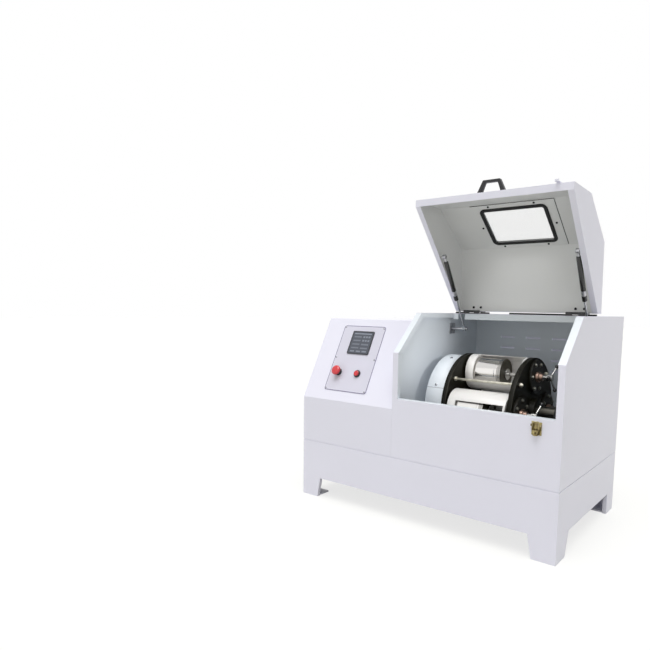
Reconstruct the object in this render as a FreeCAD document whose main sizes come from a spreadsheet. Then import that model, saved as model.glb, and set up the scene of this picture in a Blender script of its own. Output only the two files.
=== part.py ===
"""Planetary ball mill with a horizontal rotor, in a floor-standing cabinet with a swing-up lid.

Millimetres, +Z up, front towards -Y, +X to the right as seen from the front. The origin is on the
floor, in the middle of the four anchor holes. The model shows the lid open at its stop.
"""
import FreeCAD
import Part
import Sketcher
import math
import os
from types import SimpleNamespace

Vector = FreeCAD.Vector
Rotation = FreeCAD.Rotation
Placement = FreeCAD.Placement
ALONG_X = Vector(1, 0, 0)

# Driving dimensions: one row of the sheet each.
DIMENSIONS = {
    # Cabinet
    "cabinet_width": 1080, "cabinet_depth": 660, "cabinet_height": 770,
    "plinth_height": 235, "sheet": 2, "fit_gap": 0.3, "seam_groove": 3,
    "rim_width": 32, "rim_thickness": 6,
    "arch_height": 80, "arch_flange": 16,
    "foot_width": 80, "foot_taper": 15,
    "side_foot_width": 85, "side_foot_taper": 30,
    "foot_plate": 74, "foot_plate_thickness": 6,
    "anchor_inset": 45, "anchor_radius": 7,
    "ledge_width": 40, "ledge_thickness": 6,
    "bed_thickness": 12, "bed_top": 140,
    # Chamber shell
    "chamber_width": 630, "flange_width": 23,
    "chamber_slope_foot": 625, "chamber_slope_depth": 150,
    "sill_height": 455, "sill_flange": 26, "column_flange": 16,
    "deck_depth": 260, "deck_lip": 25, "bottom_flange": 26,
    "shaft_hole_radius": 45, "lip_notch": 30,
    # Control housing
    "control_front_height": 415, "control_slope_depth": 165, "control_height": 738,
    "screen_width": 109, "screen_height": 102, "screen_rise": 204, "screen_offset": 5,
    "screen_bezel": 7, "screen_proud": 4, "screen_body_depth": 34,
    "fascia_width": 214, "fascia_height": 290, "fascia_foot": 41, "fascia_inset": 97,
    "fascia_thickness": 1.5, "fascia_corner": 10,
    "button_rise": 121, "estop_offset": 59, "start_offset": 37,
    "estop_radius": 20, "estop_cap_height": 14, "estop_travel": 4,
    "estop_collar_radius": 15, "estop_collar_height": 12,
    "start_radius": 11, "start_cap_height": 7, "start_travel": 3,
    "start_collar_radius": 15, "start_collar_height": 7, "start_collar_floor": 1.5,
    "button_barrel_radius": 11, "button_barrel_length": 32, "button_stem_radius": 6,
    "button_stem_length": 20, "running_gap": 0.05,
    "spigot_y": 150, "spigot_z": 300, "spigot_radius": 30, "spigot_wall": 3, "spigot_length": 42,
    "spigot_flange_radius": 46, "spigot_flange_thickness": 3,
    # Rear panel
    "louvre_length": 68, "louvre_height": 7, "louvre_pitch_x": 115, "louvre_pitch_z": 46,
    "louvre_first_x": 65, "louvre_top_z": 673, "louvre_hood": 6, "louvre_lap": 3, "panel_screw_inset": 18,
    "louvre_columns": 4, "louvre_rows": 4,
    # Lid, as it lies when shut
    "lid_gap": 7, "lid_front_setback": 2, "lid_sill_gap": 4, "lid_front_height": 176,
    "lid_front_lean": 5, "lid_slope_run": 138, "lid_slope_rise": 184, "lid_back_height": 53,
    "lid_rim_flange": 20, "lid_front_return": 24, "lid_opening": 90,
    "hinge_rise": 9, "hinge_clear": 8.5,
    # Window
    "window_width": 258, "window_height": 190, "window_foot": 20, "window_corner": 22,
    "gasket_band": 11, "gasket_lap": 3, "gasket_proud": 2.5, "pane_thickness": 5,
    "frame_width": 318, "frame_height": 224, "frame_foot": 3, "frame_thickness": 2,
    "frame_screw_x": 87, "frame_screw_side": 143, "screw_radius": 4, "screw_head": 2.5,
    # Lid handle
    "handle_length": 106, "handle_top_length": 62, "handle_height": 45, "handle_depth": 16,
    "handle_bar": 9, "handle_leg": 17, "handle_rise": 27,
    # Hinges
    "hinge_spread": 209, "hinge_width": 70, "hinge_leaf": 2.5, "hinge_leaf_length": 45,
    "knuckle_radius": 5, "pin_radius": 2.5, "hinge_wrap": 30, "hinge_screw_x": 16,
    "hinge_screw_inset": 17,
    # Latch
    "latch_x": 460, "latch_width": 32, "latch_height": 41, "latch_drop": 12, "latch_plate": 2,
    "latch_pivot_drop": 9, "latch_pivot_out": 9, "latch_pin_radius": 1.5, "latch_boss": 3.5,
    "latch_metal": 1.5, "latch_face_drop": 16, "latch_tab": 4,
    "loop_radius": 1.25, "loop_half_width": 10.5, "loop_pivot_in": 2.5, "loop_pivot_drop": 9,
    "loop_lean": 9.5, "loop_height": 22,
    "catch_width": 13, "catch_top": 23, "catch_drop": 10, "catch_gap": 1, "catch_plate": 2,
    "catch_mouth": 4, "catch_lip": 5,
    # Gas struts
    "strut_inset": 31, "strut_foot_y": 98, "strut_foot_z": 706,
    "strut_head_y": -84, "strut_head_z": 987,
    "strut_tube_radius": 9, "strut_rod_radius": 4, "strut_eye_radius": 9, "strut_eye_width": 14,
    "strut_stud_radius": 4, "strut_tube_top": 20, "strut_tube_end": 195, "strut_rod_length": 208,
    "strut_neck_radius": 5, "strut_collar": 7, "strut_plate": 3, "strut_plate_size": 44,
    "strut_pin_head": 6,
    # Rotor
    "rotor_height": 413, "orbit": 130, "rotor_phase": 3, "stations": 4,
    "disc_radius": 200, "disc_thickness": 18, "left_disc_x": 41, "right_disc_x": 300,
    "hub_radius": 50, "hub_length": 22, "shaft_radius": 25, "shaft_start": -242, "shaft_end": 458,
    "tie_orbit": 172, "tie_phase": 7.5, "tie_radius": 5, "tie_nut_radius": 9, "tie_nut_length": 8,
    "tie_end": 12,
    "flange_radius": 62, "flange_thickness": 10, "left_flange_radius": 45, "left_flange_thickness": 5,
    "bearing_boss": 31.7, "left_bearing_boss": 26.7,
    "trunnion_radius": 20, "stub_radius": 15,
    # Jar stations
    "holder_start": 66, "holder_end": 292, "holder_radius": 69, "holder_wall": 5,
    "holder_end_wall": 6, "holder_seat": 20, "window_start": 97, "window_end": 284,
    "window_gap": 0.6, "jar_radius": 58, "jar_wall": 6, "jar_end": 189, "jar_bottom": 10,
    "jar_lid_thickness": 16, "jar_plug": 6, "trunnion_end": 337, "trunnion_nut_radius": 14,
    "trunnion_nut_length": 13,
    "clamp_screw_radius": 8, "clamp_pad_radius": 22, "clamp_pad_thickness": 8,
    "clamp_screw_end": 381, "clamp_travel": 15,
    "handle_hub_radius": 13, "handle_hub_start": 366, "handle_hub_length": 20,
    "spoke_radius": 3, "spoke_length": 52, "spoke_lean": 14, "knob_radius": 7, "spokes": 3,
    "spoke_phase": 53, "upper_window": 33, "window_step": -62,
    # Gears
    "gear_module": 5, "sun_teeth": 34, "planet_teeth": 18, "pressure_angle": 20,
    "gear_start": -14, "gear_width": 24, "gear_backlash": 0.5, "stub_start": -18,
    "sun_hub_radius": 40,
    # Gear guard
    "guard_start": -35, "guard_width": 74, "guard_radius": 191, "guard_sheet": 2.5,
    "guard_seam_z": 492, "guard_flange": 12,
    # Bearings and drive
    "pedestal_width": 40, "left_pedestal_x": -80, "right_pedestal_x": 417,
    "pedestal_base": 240, "pedestal_base_height": 16, "pedestal_radius": 56, "pedestal_neck": 110,
    "insert_radius": 42, "pedestal_shoulder": 8, "nose_end": 11,
    "pulley_start": -226, "pulley_width": 32, "driven_radius": 110, "motor_pulley_radius": 52,
    "pulley_flange": 5, "pulley_flange_width": 3, "belt_thickness": 6,
    "motor_y": 120, "motor_height": 118, "motor_radius": 96, "motor_start": -500,
    "motor_length": 250, "motor_shaft_radius": 14, "motor_foot_width": 200,
    "motor_foot_length": 180, "motor_foot_height": 12, "motor_fins": 18, "motor_fin_depth": 9,
    "motor_fin_thickness": 4, "motor_bore_gap": 0.05, "motor_cap_length": 31,
    "motor_foot_start": 42, "motor_stand_width": 100, "terminal_start": 83,
    "terminal_box": 80, "terminal_rise": 20,
}

doc = FreeCAD.newDocument("PlanetaryBallMill")
sheet = doc.addObject("Spreadsheet::Sheet", "Sizes")
for row, (alias, number) in enumerate(DIMENSIONS.items(), start=1):
    sheet.set(f"A{row}", alias)
    sheet.set(f"B{row}", str(number))
    sheet.setAlias(f"B{row}", alias)
doc.recompute()


class Size:
    """A size of the sheet, or one worked out from such sizes, with its expression."""

    def __init__(self, text, value):
        self.text = text
        self.value = value

    def __add__(self, other):
        return combine(self, "+", other)

    def __radd__(self, other):
        return combine(other, "+", self)

    def __sub__(self, other):
        return combine(self, "-", other)

    def __rsub__(self, other):
        return combine(other, "-", self)

    def __mul__(self, other):
        return combine(self, "*", other)

    def __rmul__(self, other):
        return combine(other, "*", self)

    def __truediv__(self, other):
        return combine(self, "/", other)

    def __neg__(self):
        return combine(0, "-", self)


def as_size(item):
    return item if isinstance(item, Size) else Size(repr(item), item)


def combine(first, sign, second):
    first, second = as_size(first), as_size(second)
    results = {
        "+": lambda a, b: a + b,
        "-": lambda a, b: a - b,
        "*": lambda a, b: a * b,
        "/": lambda a, b: a / b,
    }
    return Size(f"({first.text} {sign} {second.text})", results[sign](first.value, second.value))


def sine(angle):
    angle = as_size(angle)
    return Size(f"sin({angle.text})", math.sin(math.radians(angle.value)))


def cosine(angle):
    angle = as_size(angle)
    return Size(f"cos({angle.text})", math.cos(math.radians(angle.value)))


d = SimpleNamespace(**{alias: Size(f"Sizes.{alias}", sheet.get(alias)) for alias in DIMENSIONS})


# Building blocks

def bind(item, path, size):
    """Tie one property of an object to the sheet."""
    item.setExpression(path, as_size(size).text)


def block(low, high):
    """A box from its lowest to its highest corner."""
    box = doc.addObject("Part::Box", "Block")
    for side, start, stop in zip(("Length", "Width", "Height"), low, high):
        bind(box, side, stop - start)
    for axis, start in zip("xyz", low):
        bind(box, f"Placement.Base.{axis}", start)
    return box


TURNS = {
    "x": Rotation(Vector(0, 1, 0), 90),
    "y": Rotation(Vector(1, 0, 0), -90),
    "z": Rotation(),
}


def rod(axis, base, length, radius):
    """A round bar along one axis, from its base point."""
    bar = doc.addObject("Part::Cylinder", "Rod")
    bar.Placement = Placement(Vector(0, 0, 0), TURNS[axis])
    bind(bar, "Radius", radius)
    bind(bar, "Height", length)
    for name, place in zip("xyz", base):
        bind(bar, f"Placement.Base.{name}", place)
    return bar


def ball(centre, radius):
    """A sphere round its centre."""
    sphere = doc.addObject("Part::Sphere", "Ball")
    bind(sphere, "Radius", radius)
    for name, place in zip("xyz", centre):
        bind(sphere, f"Placement.Base.{name}", place)
    return sphere


def join(pieces):
    """One solid from several that meet."""
    if len(pieces) == 1:
        return pieces[0]
    joined = doc.addObject("Part::MultiFuse", "Join")
    joined.Shapes = pieces
    joined.Refine = True
    return joined


def cut(base, tools):
    """The base less each of the tools."""
    for tool in tools:
        less = doc.addObject("Part::Cut", "Cut")
        less.Base = base
        less.Tool = tool
        base = less
    return base


def group(pieces):
    """Separate solids that share one node."""
    together = doc.addObject("Part::Compound", "Group")
    together.Links = pieces
    return together


def outline(plane, points, start, length):
    """A straight-sided outline on one of a body's own planes, padded to a solid."""
    body = doc.addObject("PartDesign::Body", "Body")
    base = next(f for f in body.Origin.OriginFeatures if f.Role == plane)
    sketch = body.newObject("Sketcher::SketchObject", "Outline")
    sketch.AttachmentSupport = [(base, "")]
    sketch.MapMode = "FlatFace"
    bind(sketch, "AttachmentOffset.Base.z", start)
    corners = [(as_size(across), as_size(up)) for across, up in points]
    count = len(corners)
    for index, (across, up) in enumerate(corners):
        to_across, to_up = corners[(index + 1) % count]
        line = Part.LineSegment(
            Vector(across.value, up.value, 0), Vector(to_across.value, to_up.value, 0)
        )
        sketch.addGeometry(line)
    for index, (across, up) in enumerate(corners):
        sketch.addConstraint(Sketcher.Constraint("Coincident", index, 2, (index + 1) % count, 1))
        for kind, size in (("DistanceX", across), ("DistanceY", up)):
            place = sketch.addConstraint(Sketcher.Constraint(kind, -1, 1, index, 1, size.value))
            sketch.renameConstraint(place, f"{kind}{index}")
            bind(sketch, f"Constraints.{kind}{index}", size)
    pad = body.newObject("PartDesign::Pad", "Pad")
    pad.Profile = sketch
    bind(pad, "Length", length)
    body.Tip = pad
    return body


def side_outline(points, start, length):
    """An outline of (y, z) points, padded along X from start."""
    return outline("YZ_Plane", points, start, length)


def rounded_plate(low, high, radius):
    """A flat plate in X and Y with round corners."""
    (x0, y0, z0), (x1, y1, z1) = low, high
    pieces = [
        block((x0 + radius, y0, z0), (x1 - radius, y1, z1)),
        block((x0, y0 + radius, z0), (x1, y1 - radius, z1)),
    ]
    for x in (x0 + radius, x1 - radius):
        for y in (y0 + radius, y1 - radius):
            pieces.append(rod("z", (x, y, z0), z1 - z0, radius))
    return join(pieces)


nodes = []


def finish(label, item, place=None):
    """Name a sub-part and, where it is built in a frame of its own, put it in its place."""
    item.Label = label
    if place is not None:
        item.Placement = place.multiply(item.Placement)
    nodes.append(item)
    return item


def frame_on(start, stop):
    """A frame whose Y runs from one (y, z) point to another, with Z square to it."""
    rise = as_size(stop[1] - start[1]).value
    run = as_size(stop[0] - start[0]).value
    angle = math.degrees(math.atan2(rise, run))
    return Placement(Vector(0, as_size(start[0]).value, as_size(start[1]).value),
                     Rotation(ALONG_X, angle))


def distance(start, stop):
    run = as_size(stop[0] - start[0]).value
    rise = as_size(stop[1] - start[1]).value
    return math.hypot(run, rise)


# Places that several pieces share

half_width = d.cabinet_width / 2
front = 0 - d.cabinet_depth / 2
back = d.cabinet_depth / 2
chamber_left = half_width - d.chamber_width
top = d.cabinet_height
hinge_y = back - d.deck_depth
hinge_z = top + d.hinge_rise
inner_left = chamber_left + d.flange_width
inner_right = half_width - d.flange_width
lid_left = inner_left + d.lid_gap
lid_right = inner_right - d.lid_gap
lid_middle = (lid_left + lid_right) / 2
panel_front = back - d.sheet


# Plinth

def make_plinth():
    """Folded lower cabinet with arched sides, a top rim, bed ledges and welded foot plates."""
    left, right = 0 - half_width, half_width
    wall_top = d.plinth_height - d.seam_groove
    shell = cut(block((left, front, 0), (right, back, wall_top)),
                [block((left + d.sheet, front + d.sheet, 0),
                       (right - d.sheet, back - d.sheet, wall_top))])
    rim_low = d.plinth_height - d.rim_thickness
    rim = cut(block((left + d.sheet, front + d.sheet, rim_low),
                    (right - d.sheet, back - d.sheet, d.plinth_height)),
              [block((left + d.rim_width, front + d.rim_width, rim_low),
                     (right - d.rim_width, back - d.rim_width, d.plinth_height))])
    ledge_top = d.bed_top - d.bed_thickness
    ledge_low = ledge_top - d.ledge_thickness
    ledges = [
        block((left + d.sheet, front + d.sheet, ledge_low),
              (right - d.sheet, front + d.sheet + d.ledge_width, ledge_top)),
        block((left + d.sheet, back - d.sheet - d.ledge_width, ledge_low),
              (right - d.sheet, back - d.sheet, ledge_top)),
    ]
    plates = []
    for x0 in (left + d.sheet, right - d.sheet - d.foot_plate):
        for y0 in (front + d.sheet, back - d.sheet - d.foot_plate):
            plates.append(block((x0, y0, 0),
                                (x0 + d.foot_plate, y0 + d.foot_plate, d.foot_plate_thickness)))

    def front_arch(grow):
        foot = half_width - d.foot_width + grow
        crown = foot - d.foot_taper
        return [(0 - foot, 0), (0 - crown, d.arch_height + grow), (crown, d.arch_height + grow),
                (foot, 0)]

    def side_arch(grow):
        fore = front + d.side_foot_width - grow
        aft = back - d.side_foot_width + grow
        return [(fore, 0), (fore + d.side_foot_taper, d.arch_height + grow),
                (aft, d.arch_height + grow), (aft, 0)]

    flanges = [
        outline("XZ_Plane", front_arch(d.sheet), 0 - front - d.arch_flange, d.arch_flange),
        outline("XZ_Plane", front_arch(d.sheet), 0 - back, d.arch_flange),
        side_outline(side_arch(d.sheet), left, d.arch_flange),
        side_outline(side_arch(d.sheet), right - d.arch_flange, d.arch_flange),
    ]
    arches = [
        outline("XZ_Plane", front_arch(0), 0 - back, d.cabinet_depth),
        side_outline(side_arch(0), left, d.cabinet_width),
    ]
    anchors = []
    for x in (left + d.anchor_inset, right - d.anchor_inset):
        for y in (front + d.anchor_inset, back - d.anchor_inset):
            anchors.append(rod("z", (x, y, 0), d.foot_plate_thickness, d.anchor_radius))
    walls = cut(join([shell] + flanges), arches)
    finish("base_plinth", cut(join([walls, rim] + ledges + plates), anchors))


def make_bed():
    """Thick bed plate on the plinth's ledges, which carries the rotor and the motor."""
    inset = d.sheet + d.fit_gap
    finish("bed_plate", block((inset - half_width, front + inset, d.bed_top - d.bed_thickness),
                              (half_width - inset, back - inset, d.bed_top)))


# Upper cabinet

chamber_profile = [
    (front, d.plinth_height), (front, d.chamber_slope_foot),
    (front + d.chamber_slope_depth, top), (back, top), (back, d.plinth_height),
]
control_profile = [
    (front, d.plinth_height), (front, d.control_front_height),
    (front + d.control_slope_depth, d.control_height), (back, d.control_height),
    (back, d.plinth_height),
]


def inner_profile(profile, thickness):
    """The same side outline, moved in by the sheet along its front, slope and top."""
    (y0, z0), (y1, z1), (y2, z2), (y3, z3), (y4, z4) = profile
    rise = as_size(z2 - z1).value
    run = as_size(y2 - y1).value
    tilt = math.degrees(math.atan2(rise, run))
    foot_turn = Size(f"tan({(90 - tilt) / 2!r})", math.tan(math.radians((90 - tilt) / 2)))
    head_turn = Size(f"tan({tilt / 2!r})", math.tan(math.radians(tilt / 2)))
    low = z0 + thickness
    return [(y0 + thickness, low), (y1 + thickness, z1 - thickness * foot_turn),
            (y2 + thickness * head_turn, z2 - thickness), (y3, z3 - thickness), (y4, low)]


def make_chamber():
    """Welded shell of the milling chamber: front, both sides, rear deck and their flanges."""
    left, right = chamber_left, half_width
    solid = side_outline(chamber_profile, left, right - left)
    hollow = side_outline(inner_profile(chamber_profile, d.sheet),
                          left + d.sheet, right - left - 2 * d.sheet)
    overrun = d.cabinet_height
    mouth_foot = front + d.sheet + d.column_flange
    mouth = block((inner_left, front - overrun, d.sill_height), (inner_right, hinge_y, overrun * 2))
    shell = cut(solid, [hollow, mouth])
    rear_cut = block((left - d.sheet, panel_front - d.fit_gap, d.plinth_height - d.sheet),
                     (right - d.sheet, back + overrun, top - d.sheet))
    floor_cut = block((left + d.sheet, front + d.bottom_flange, 0),
                      (right - d.bottom_flange, back + overrun, d.plinth_height + d.sheet))
    hole = rod("x", (left - d.sheet, 0, d.rotor_height), 3 * d.sheet, d.shaft_hole_radius)
    shell = cut(shell, [rear_cut, floor_cut, hole])
    returns = [
        block((inner_left, front, d.sill_height - d.sheet),
              (inner_right, front + d.sill_flange, d.sill_height)),
        block((inner_left - d.sheet, front, d.sill_height - d.sheet),
              (inner_left, mouth_foot, d.chamber_slope_foot - d.sheet)),
        block((inner_right, front, d.sill_height - d.sheet),
              (inner_right + d.sheet, mouth_foot, d.chamber_slope_foot - d.sheet)),
    ]
    lip_low = top - d.deck_lip
    lip = block((inner_left, hinge_y, lip_low), (inner_right, hinge_y + d.sheet, top))
    notches = []
    for x in (lid_left + d.strut_inset, lid_right - d.strut_inset):
        notches.append(block((x - d.lip_notch / 2, hinge_y - d.sheet, lip_low - d.sheet),
                             (x + d.lip_notch / 2, hinge_y + 2 * d.sheet, top - d.sheet)))
    finish("chamber_shell", join([shell, cut(lip, notches)] + returns))


control_slope = ((front, d.control_front_height),
                 (front + d.control_slope_depth, d.control_height))
on_control_slope = frame_on(*control_slope)
fascia_x0 = 0 - half_width + d.fascia_inset
fascia_x1 = fascia_x0 + d.fascia_width
fascia_middle = (fascia_x0 + fascia_x1) / 2
screen_x0 = fascia_middle + d.screen_offset - d.screen_width / 2
screen_x1 = screen_x0 + d.screen_width
estop_x = fascia_middle - d.estop_offset
start_x = fascia_middle + d.start_offset


def make_control_housing():
    """Shell of the control side: front, panel slope, top and left wall."""
    left, right = 0 - half_width, chamber_left - d.fit_gap
    solid = side_outline(control_profile, left, right - left)
    hollow = side_outline(inner_profile(control_profile, d.sheet), left + d.sheet,
                          right - left)
    overrun = d.cabinet_depth
    rear_cut = block((left + d.sheet, panel_front - d.fit_gap, d.plinth_height - d.sheet),
                     (right + overrun, back + overrun, d.control_height - d.sheet))
    floor_cut = block((left + d.bottom_flange, front + d.bottom_flange, 0),
                      (right + overrun, back + overrun, d.plinth_height + d.sheet))
    shell = cut(solid, [hollow, rear_cut, floor_cut])
    screen_hole = block((screen_x0 + d.screen_bezel - d.fit_gap,
                         d.screen_rise + d.screen_bezel - d.fit_gap, 0 - 4 * d.sheet),
                        (screen_x1 - d.screen_bezel + d.fit_gap,
                         d.screen_rise + d.screen_height - d.screen_bezel + d.fit_gap,
                         4 * d.sheet))
    holes = [screen_hole]
    for x in (estop_x, start_x):
        holes.append(rod("z", (x, d.button_rise, 0 - 4 * d.sheet), 8 * d.sheet,
                         d.button_barrel_radius + d.fit_gap))
    for hole in holes:
        placed(hole, on_control_slope)
    out = left - d.spigot_length
    centre = (0 - d.spigot_y, d.spigot_z)
    spigot = [
        rod("x", (out, *centre), d.spigot_length + d.sheet, d.spigot_radius),
        rod("x", (left - d.spigot_flange_thickness, *centre), d.spigot_flange_thickness,
            d.spigot_flange_radius),
    ]
    intake = rod("x", (out, *centre), d.spigot_length + 2 * d.sheet,
                 d.spigot_radius - d.spigot_wall)
    finish("control_housing", cut(join([shell] + spigot), holes + [intake]))


def make_rear_panel():
    """Louvred back panel that closes both sides of the upper cabinet."""
    gap = d.fit_gap
    low = d.plinth_height + gap
    left, right = 0 - half_width + d.sheet + gap, half_width - d.sheet - gap
    step = chamber_left - gap
    points = [(left, low), (right, low), (right, top - d.sheet - gap),
              (step, top - d.sheet - gap), (step, d.control_height - d.sheet - gap),
              (left, d.control_height - d.sheet - gap)]
    panel = outline("XZ_Plane", points, 0 - back, d.sheet)
    slots = []
    hoods = []
    for column in range(int(d.louvre_columns.value)):
        for row in range(int(d.louvre_rows.value)):
            x = d.louvre_first_x + column * d.louvre_pitch_x
            z = d.louvre_top_z - row * d.louvre_pitch_z
            left_end = x - d.louvre_length / 2
            inside = left_end + d.sheet
            low_edge = z - d.louvre_height - d.louvre_lap
            wall = back + d.louvre_hood - d.sheet
            slots.append(block((inside, panel_front - d.sheet, z - d.louvre_height),
                               (x + d.louvre_length / 2 - d.sheet, back + d.sheet, z)))
            slots.append(outline("YZ_Plane",
                                 [(back, z), (wall, z - d.sheet), (wall, low_edge - d.sheet),
                                  (back, low_edge - d.sheet)],
                                 inside, d.louvre_length - 2 * d.sheet))
            hoods.append(outline("YZ_Plane",
                                 [(back, z + d.louvre_height), (back + d.louvre_hood, z),
                                  (back + d.louvre_hood, low_edge), (back, low_edge)],
                                 left_end, d.louvre_length))
    finish("rear_panel", cut(join([panel] + hoods), slots))


# Control panel

def on_slope(label, item):
    return finish(label, item, on_control_slope)


def make_control_panel():
    """Fascia plate, touch screen, emergency stop and start button, on the control slope."""
    plate = rounded_plate((fascia_x0, d.fascia_foot, 0),
                          (fascia_x1, d.fascia_foot + d.fascia_height, d.fascia_thickness),
                          d.fascia_corner)
    screen_gap = d.screen_bezel - d.fit_gap
    screen_hole = block((screen_x0 + screen_gap, d.screen_rise + screen_gap, 0 - d.sheet),
                        (screen_x1 - screen_gap, d.screen_rise + d.screen_height - screen_gap,
                         2 * d.sheet))
    barrel_holes = []
    for x in (estop_x, start_x):
        barrel_holes.append(rod("z", (x, d.button_rise, 0 - d.sheet), 3 * d.sheet,
                                d.button_barrel_radius + d.fit_gap))
    on_slope("control_fascia", cut(plate, [screen_hole] + barrel_holes))

    face = d.fascia_thickness
    bezel = block((screen_x0, d.screen_rise, face),
                  (screen_x1, d.screen_rise + d.screen_height, face + d.screen_proud))
    body = block((screen_x0 + d.screen_bezel, d.screen_rise + d.screen_bezel,
                  0 - d.screen_body_depth),
                 (screen_x1 - d.screen_bezel, d.screen_rise + d.screen_height - d.screen_bezel,
                  face))
    on_slope("touch_screen", join([bezel, body]))

    collars = []
    recess = rod("z", (start_x, d.button_rise, face + d.start_collar_floor),
                 d.start_collar_height, d.start_radius + d.fit_gap)
    rows = ((estop_x, d.estop_collar_radius, d.estop_collar_height, []),
            (start_x, d.start_collar_radius, d.start_collar_height, [recess]))
    for x, radius, height, recesses in rows:
        collar = join([
            rod("z", (x, d.button_rise, face), height, radius),
            rod("z", (x, d.button_rise, 0 - d.button_barrel_length),
                d.button_barrel_length + face, d.button_barrel_radius),
        ])
        bore = rod("z", (x, d.button_rise, 0 - d.button_barrel_length),
                   d.button_barrel_length + face + height, d.button_stem_radius + d.running_gap)
        collars.append(cut(collar, [bore] + recesses))
    on_slope("button_collars", group(collars))

    cap_low = face + d.estop_collar_height + d.estop_travel + d.fit_gap
    dome = ball((estop_x, d.button_rise, cap_low + d.estop_cap_height - d.estop_radius * 2),
                d.estop_radius * 2)
    cap = doc.addObject("Part::Common", "MushroomCap")
    cap.Base = rod("z", (estop_x, d.button_rise, cap_low), d.estop_cap_height, d.estop_radius)
    cap.Tool = dome
    stem = rod("z", (estop_x, d.button_rise, cap_low - d.button_stem_length),
               d.button_stem_length, d.button_stem_radius)
    on_slope("estop_head", join([cap, stem]))

    start_low = face + d.start_collar_floor + d.start_travel + d.fit_gap
    cap = rod("z", (start_x, d.button_rise, start_low), d.start_cap_height, d.start_radius)
    stem = rod("z", (start_x, d.button_rise, start_low - d.button_stem_length),
               d.button_stem_length, d.button_stem_radius)
    on_slope("start_button", join([cap, stem]))


# Lid: every piece is laid out as the lid lies shut, then swung open about the hinge line

swing_open = Placement(Vector(0, 0, 0), Rotation(ALONG_X, 0 - d.lid_opening.value),
                       Vector(0, hinge_y.value, hinge_z.value))
lid_a = (front + d.lid_front_setback, d.sill_height + d.lid_sill_gap)
lid_b = (lid_a[0] + d.lid_front_lean, lid_a[1] + d.lid_front_height)
lid_c = (lid_b[0] + d.lid_slope_run, lid_b[1] + d.lid_slope_rise)
lid_e = (hinge_y, hinge_z + d.lid_back_height)
lid_g = (hinge_y, hinge_z + d.hinge_clear)
lid_return = (lid_a[0] + d.lid_front_return, lid_a[1])
on_lid_slope = swing_open.multiply(frame_on(lid_b, lid_c))
on_lid_top = swing_open.multiply(frame_on(lid_c, lid_e))
on_lid_front = swing_open.multiply(frame_on(lid_a, lid_b))
lid_slope_length = distance(lid_b, lid_c)


def lid_inner(thickness):
    """The lid's side outline moved in by the sheet, open towards the rim."""
    walls = [(lid_a, lid_b), (lid_b, lid_c), (lid_c, lid_e), (lid_e, lid_g)]
    moved = []
    for start, stop in walls:
        run = as_size(stop[0] - start[0]).value
        rise = as_size(stop[1] - start[1]).value
        length = math.hypot(run, rise)
        across, up = rise / length * thickness.value, 0 - run / length * thickness.value
        moved.append(((start[0].value + across, start[1].value + up),
                      (stop[0].value + across, stop[1].value + up)))
    points = []
    for first, second in zip(moved, moved[1:]):
        points.append(crossing(first, second))
    return points


def crossing(first, second):
    """Where two straight lines of (y, z) points meet."""
    (x1, y1), (x2, y2) = first
    (x3, y3), (x4, y4) = second
    turn = (x1 - x2) * (y3 - y4) - (y1 - y2) * (x3 - x4)
    area_a = x1 * y2 - y1 * x2
    area_b = x3 * y4 - y3 * x4
    return ((area_a * (x3 - x4) - (x1 - x2) * area_b) / turn,
            (area_a * (y3 - y4) - (y1 - y2) * area_b) / turn)


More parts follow.
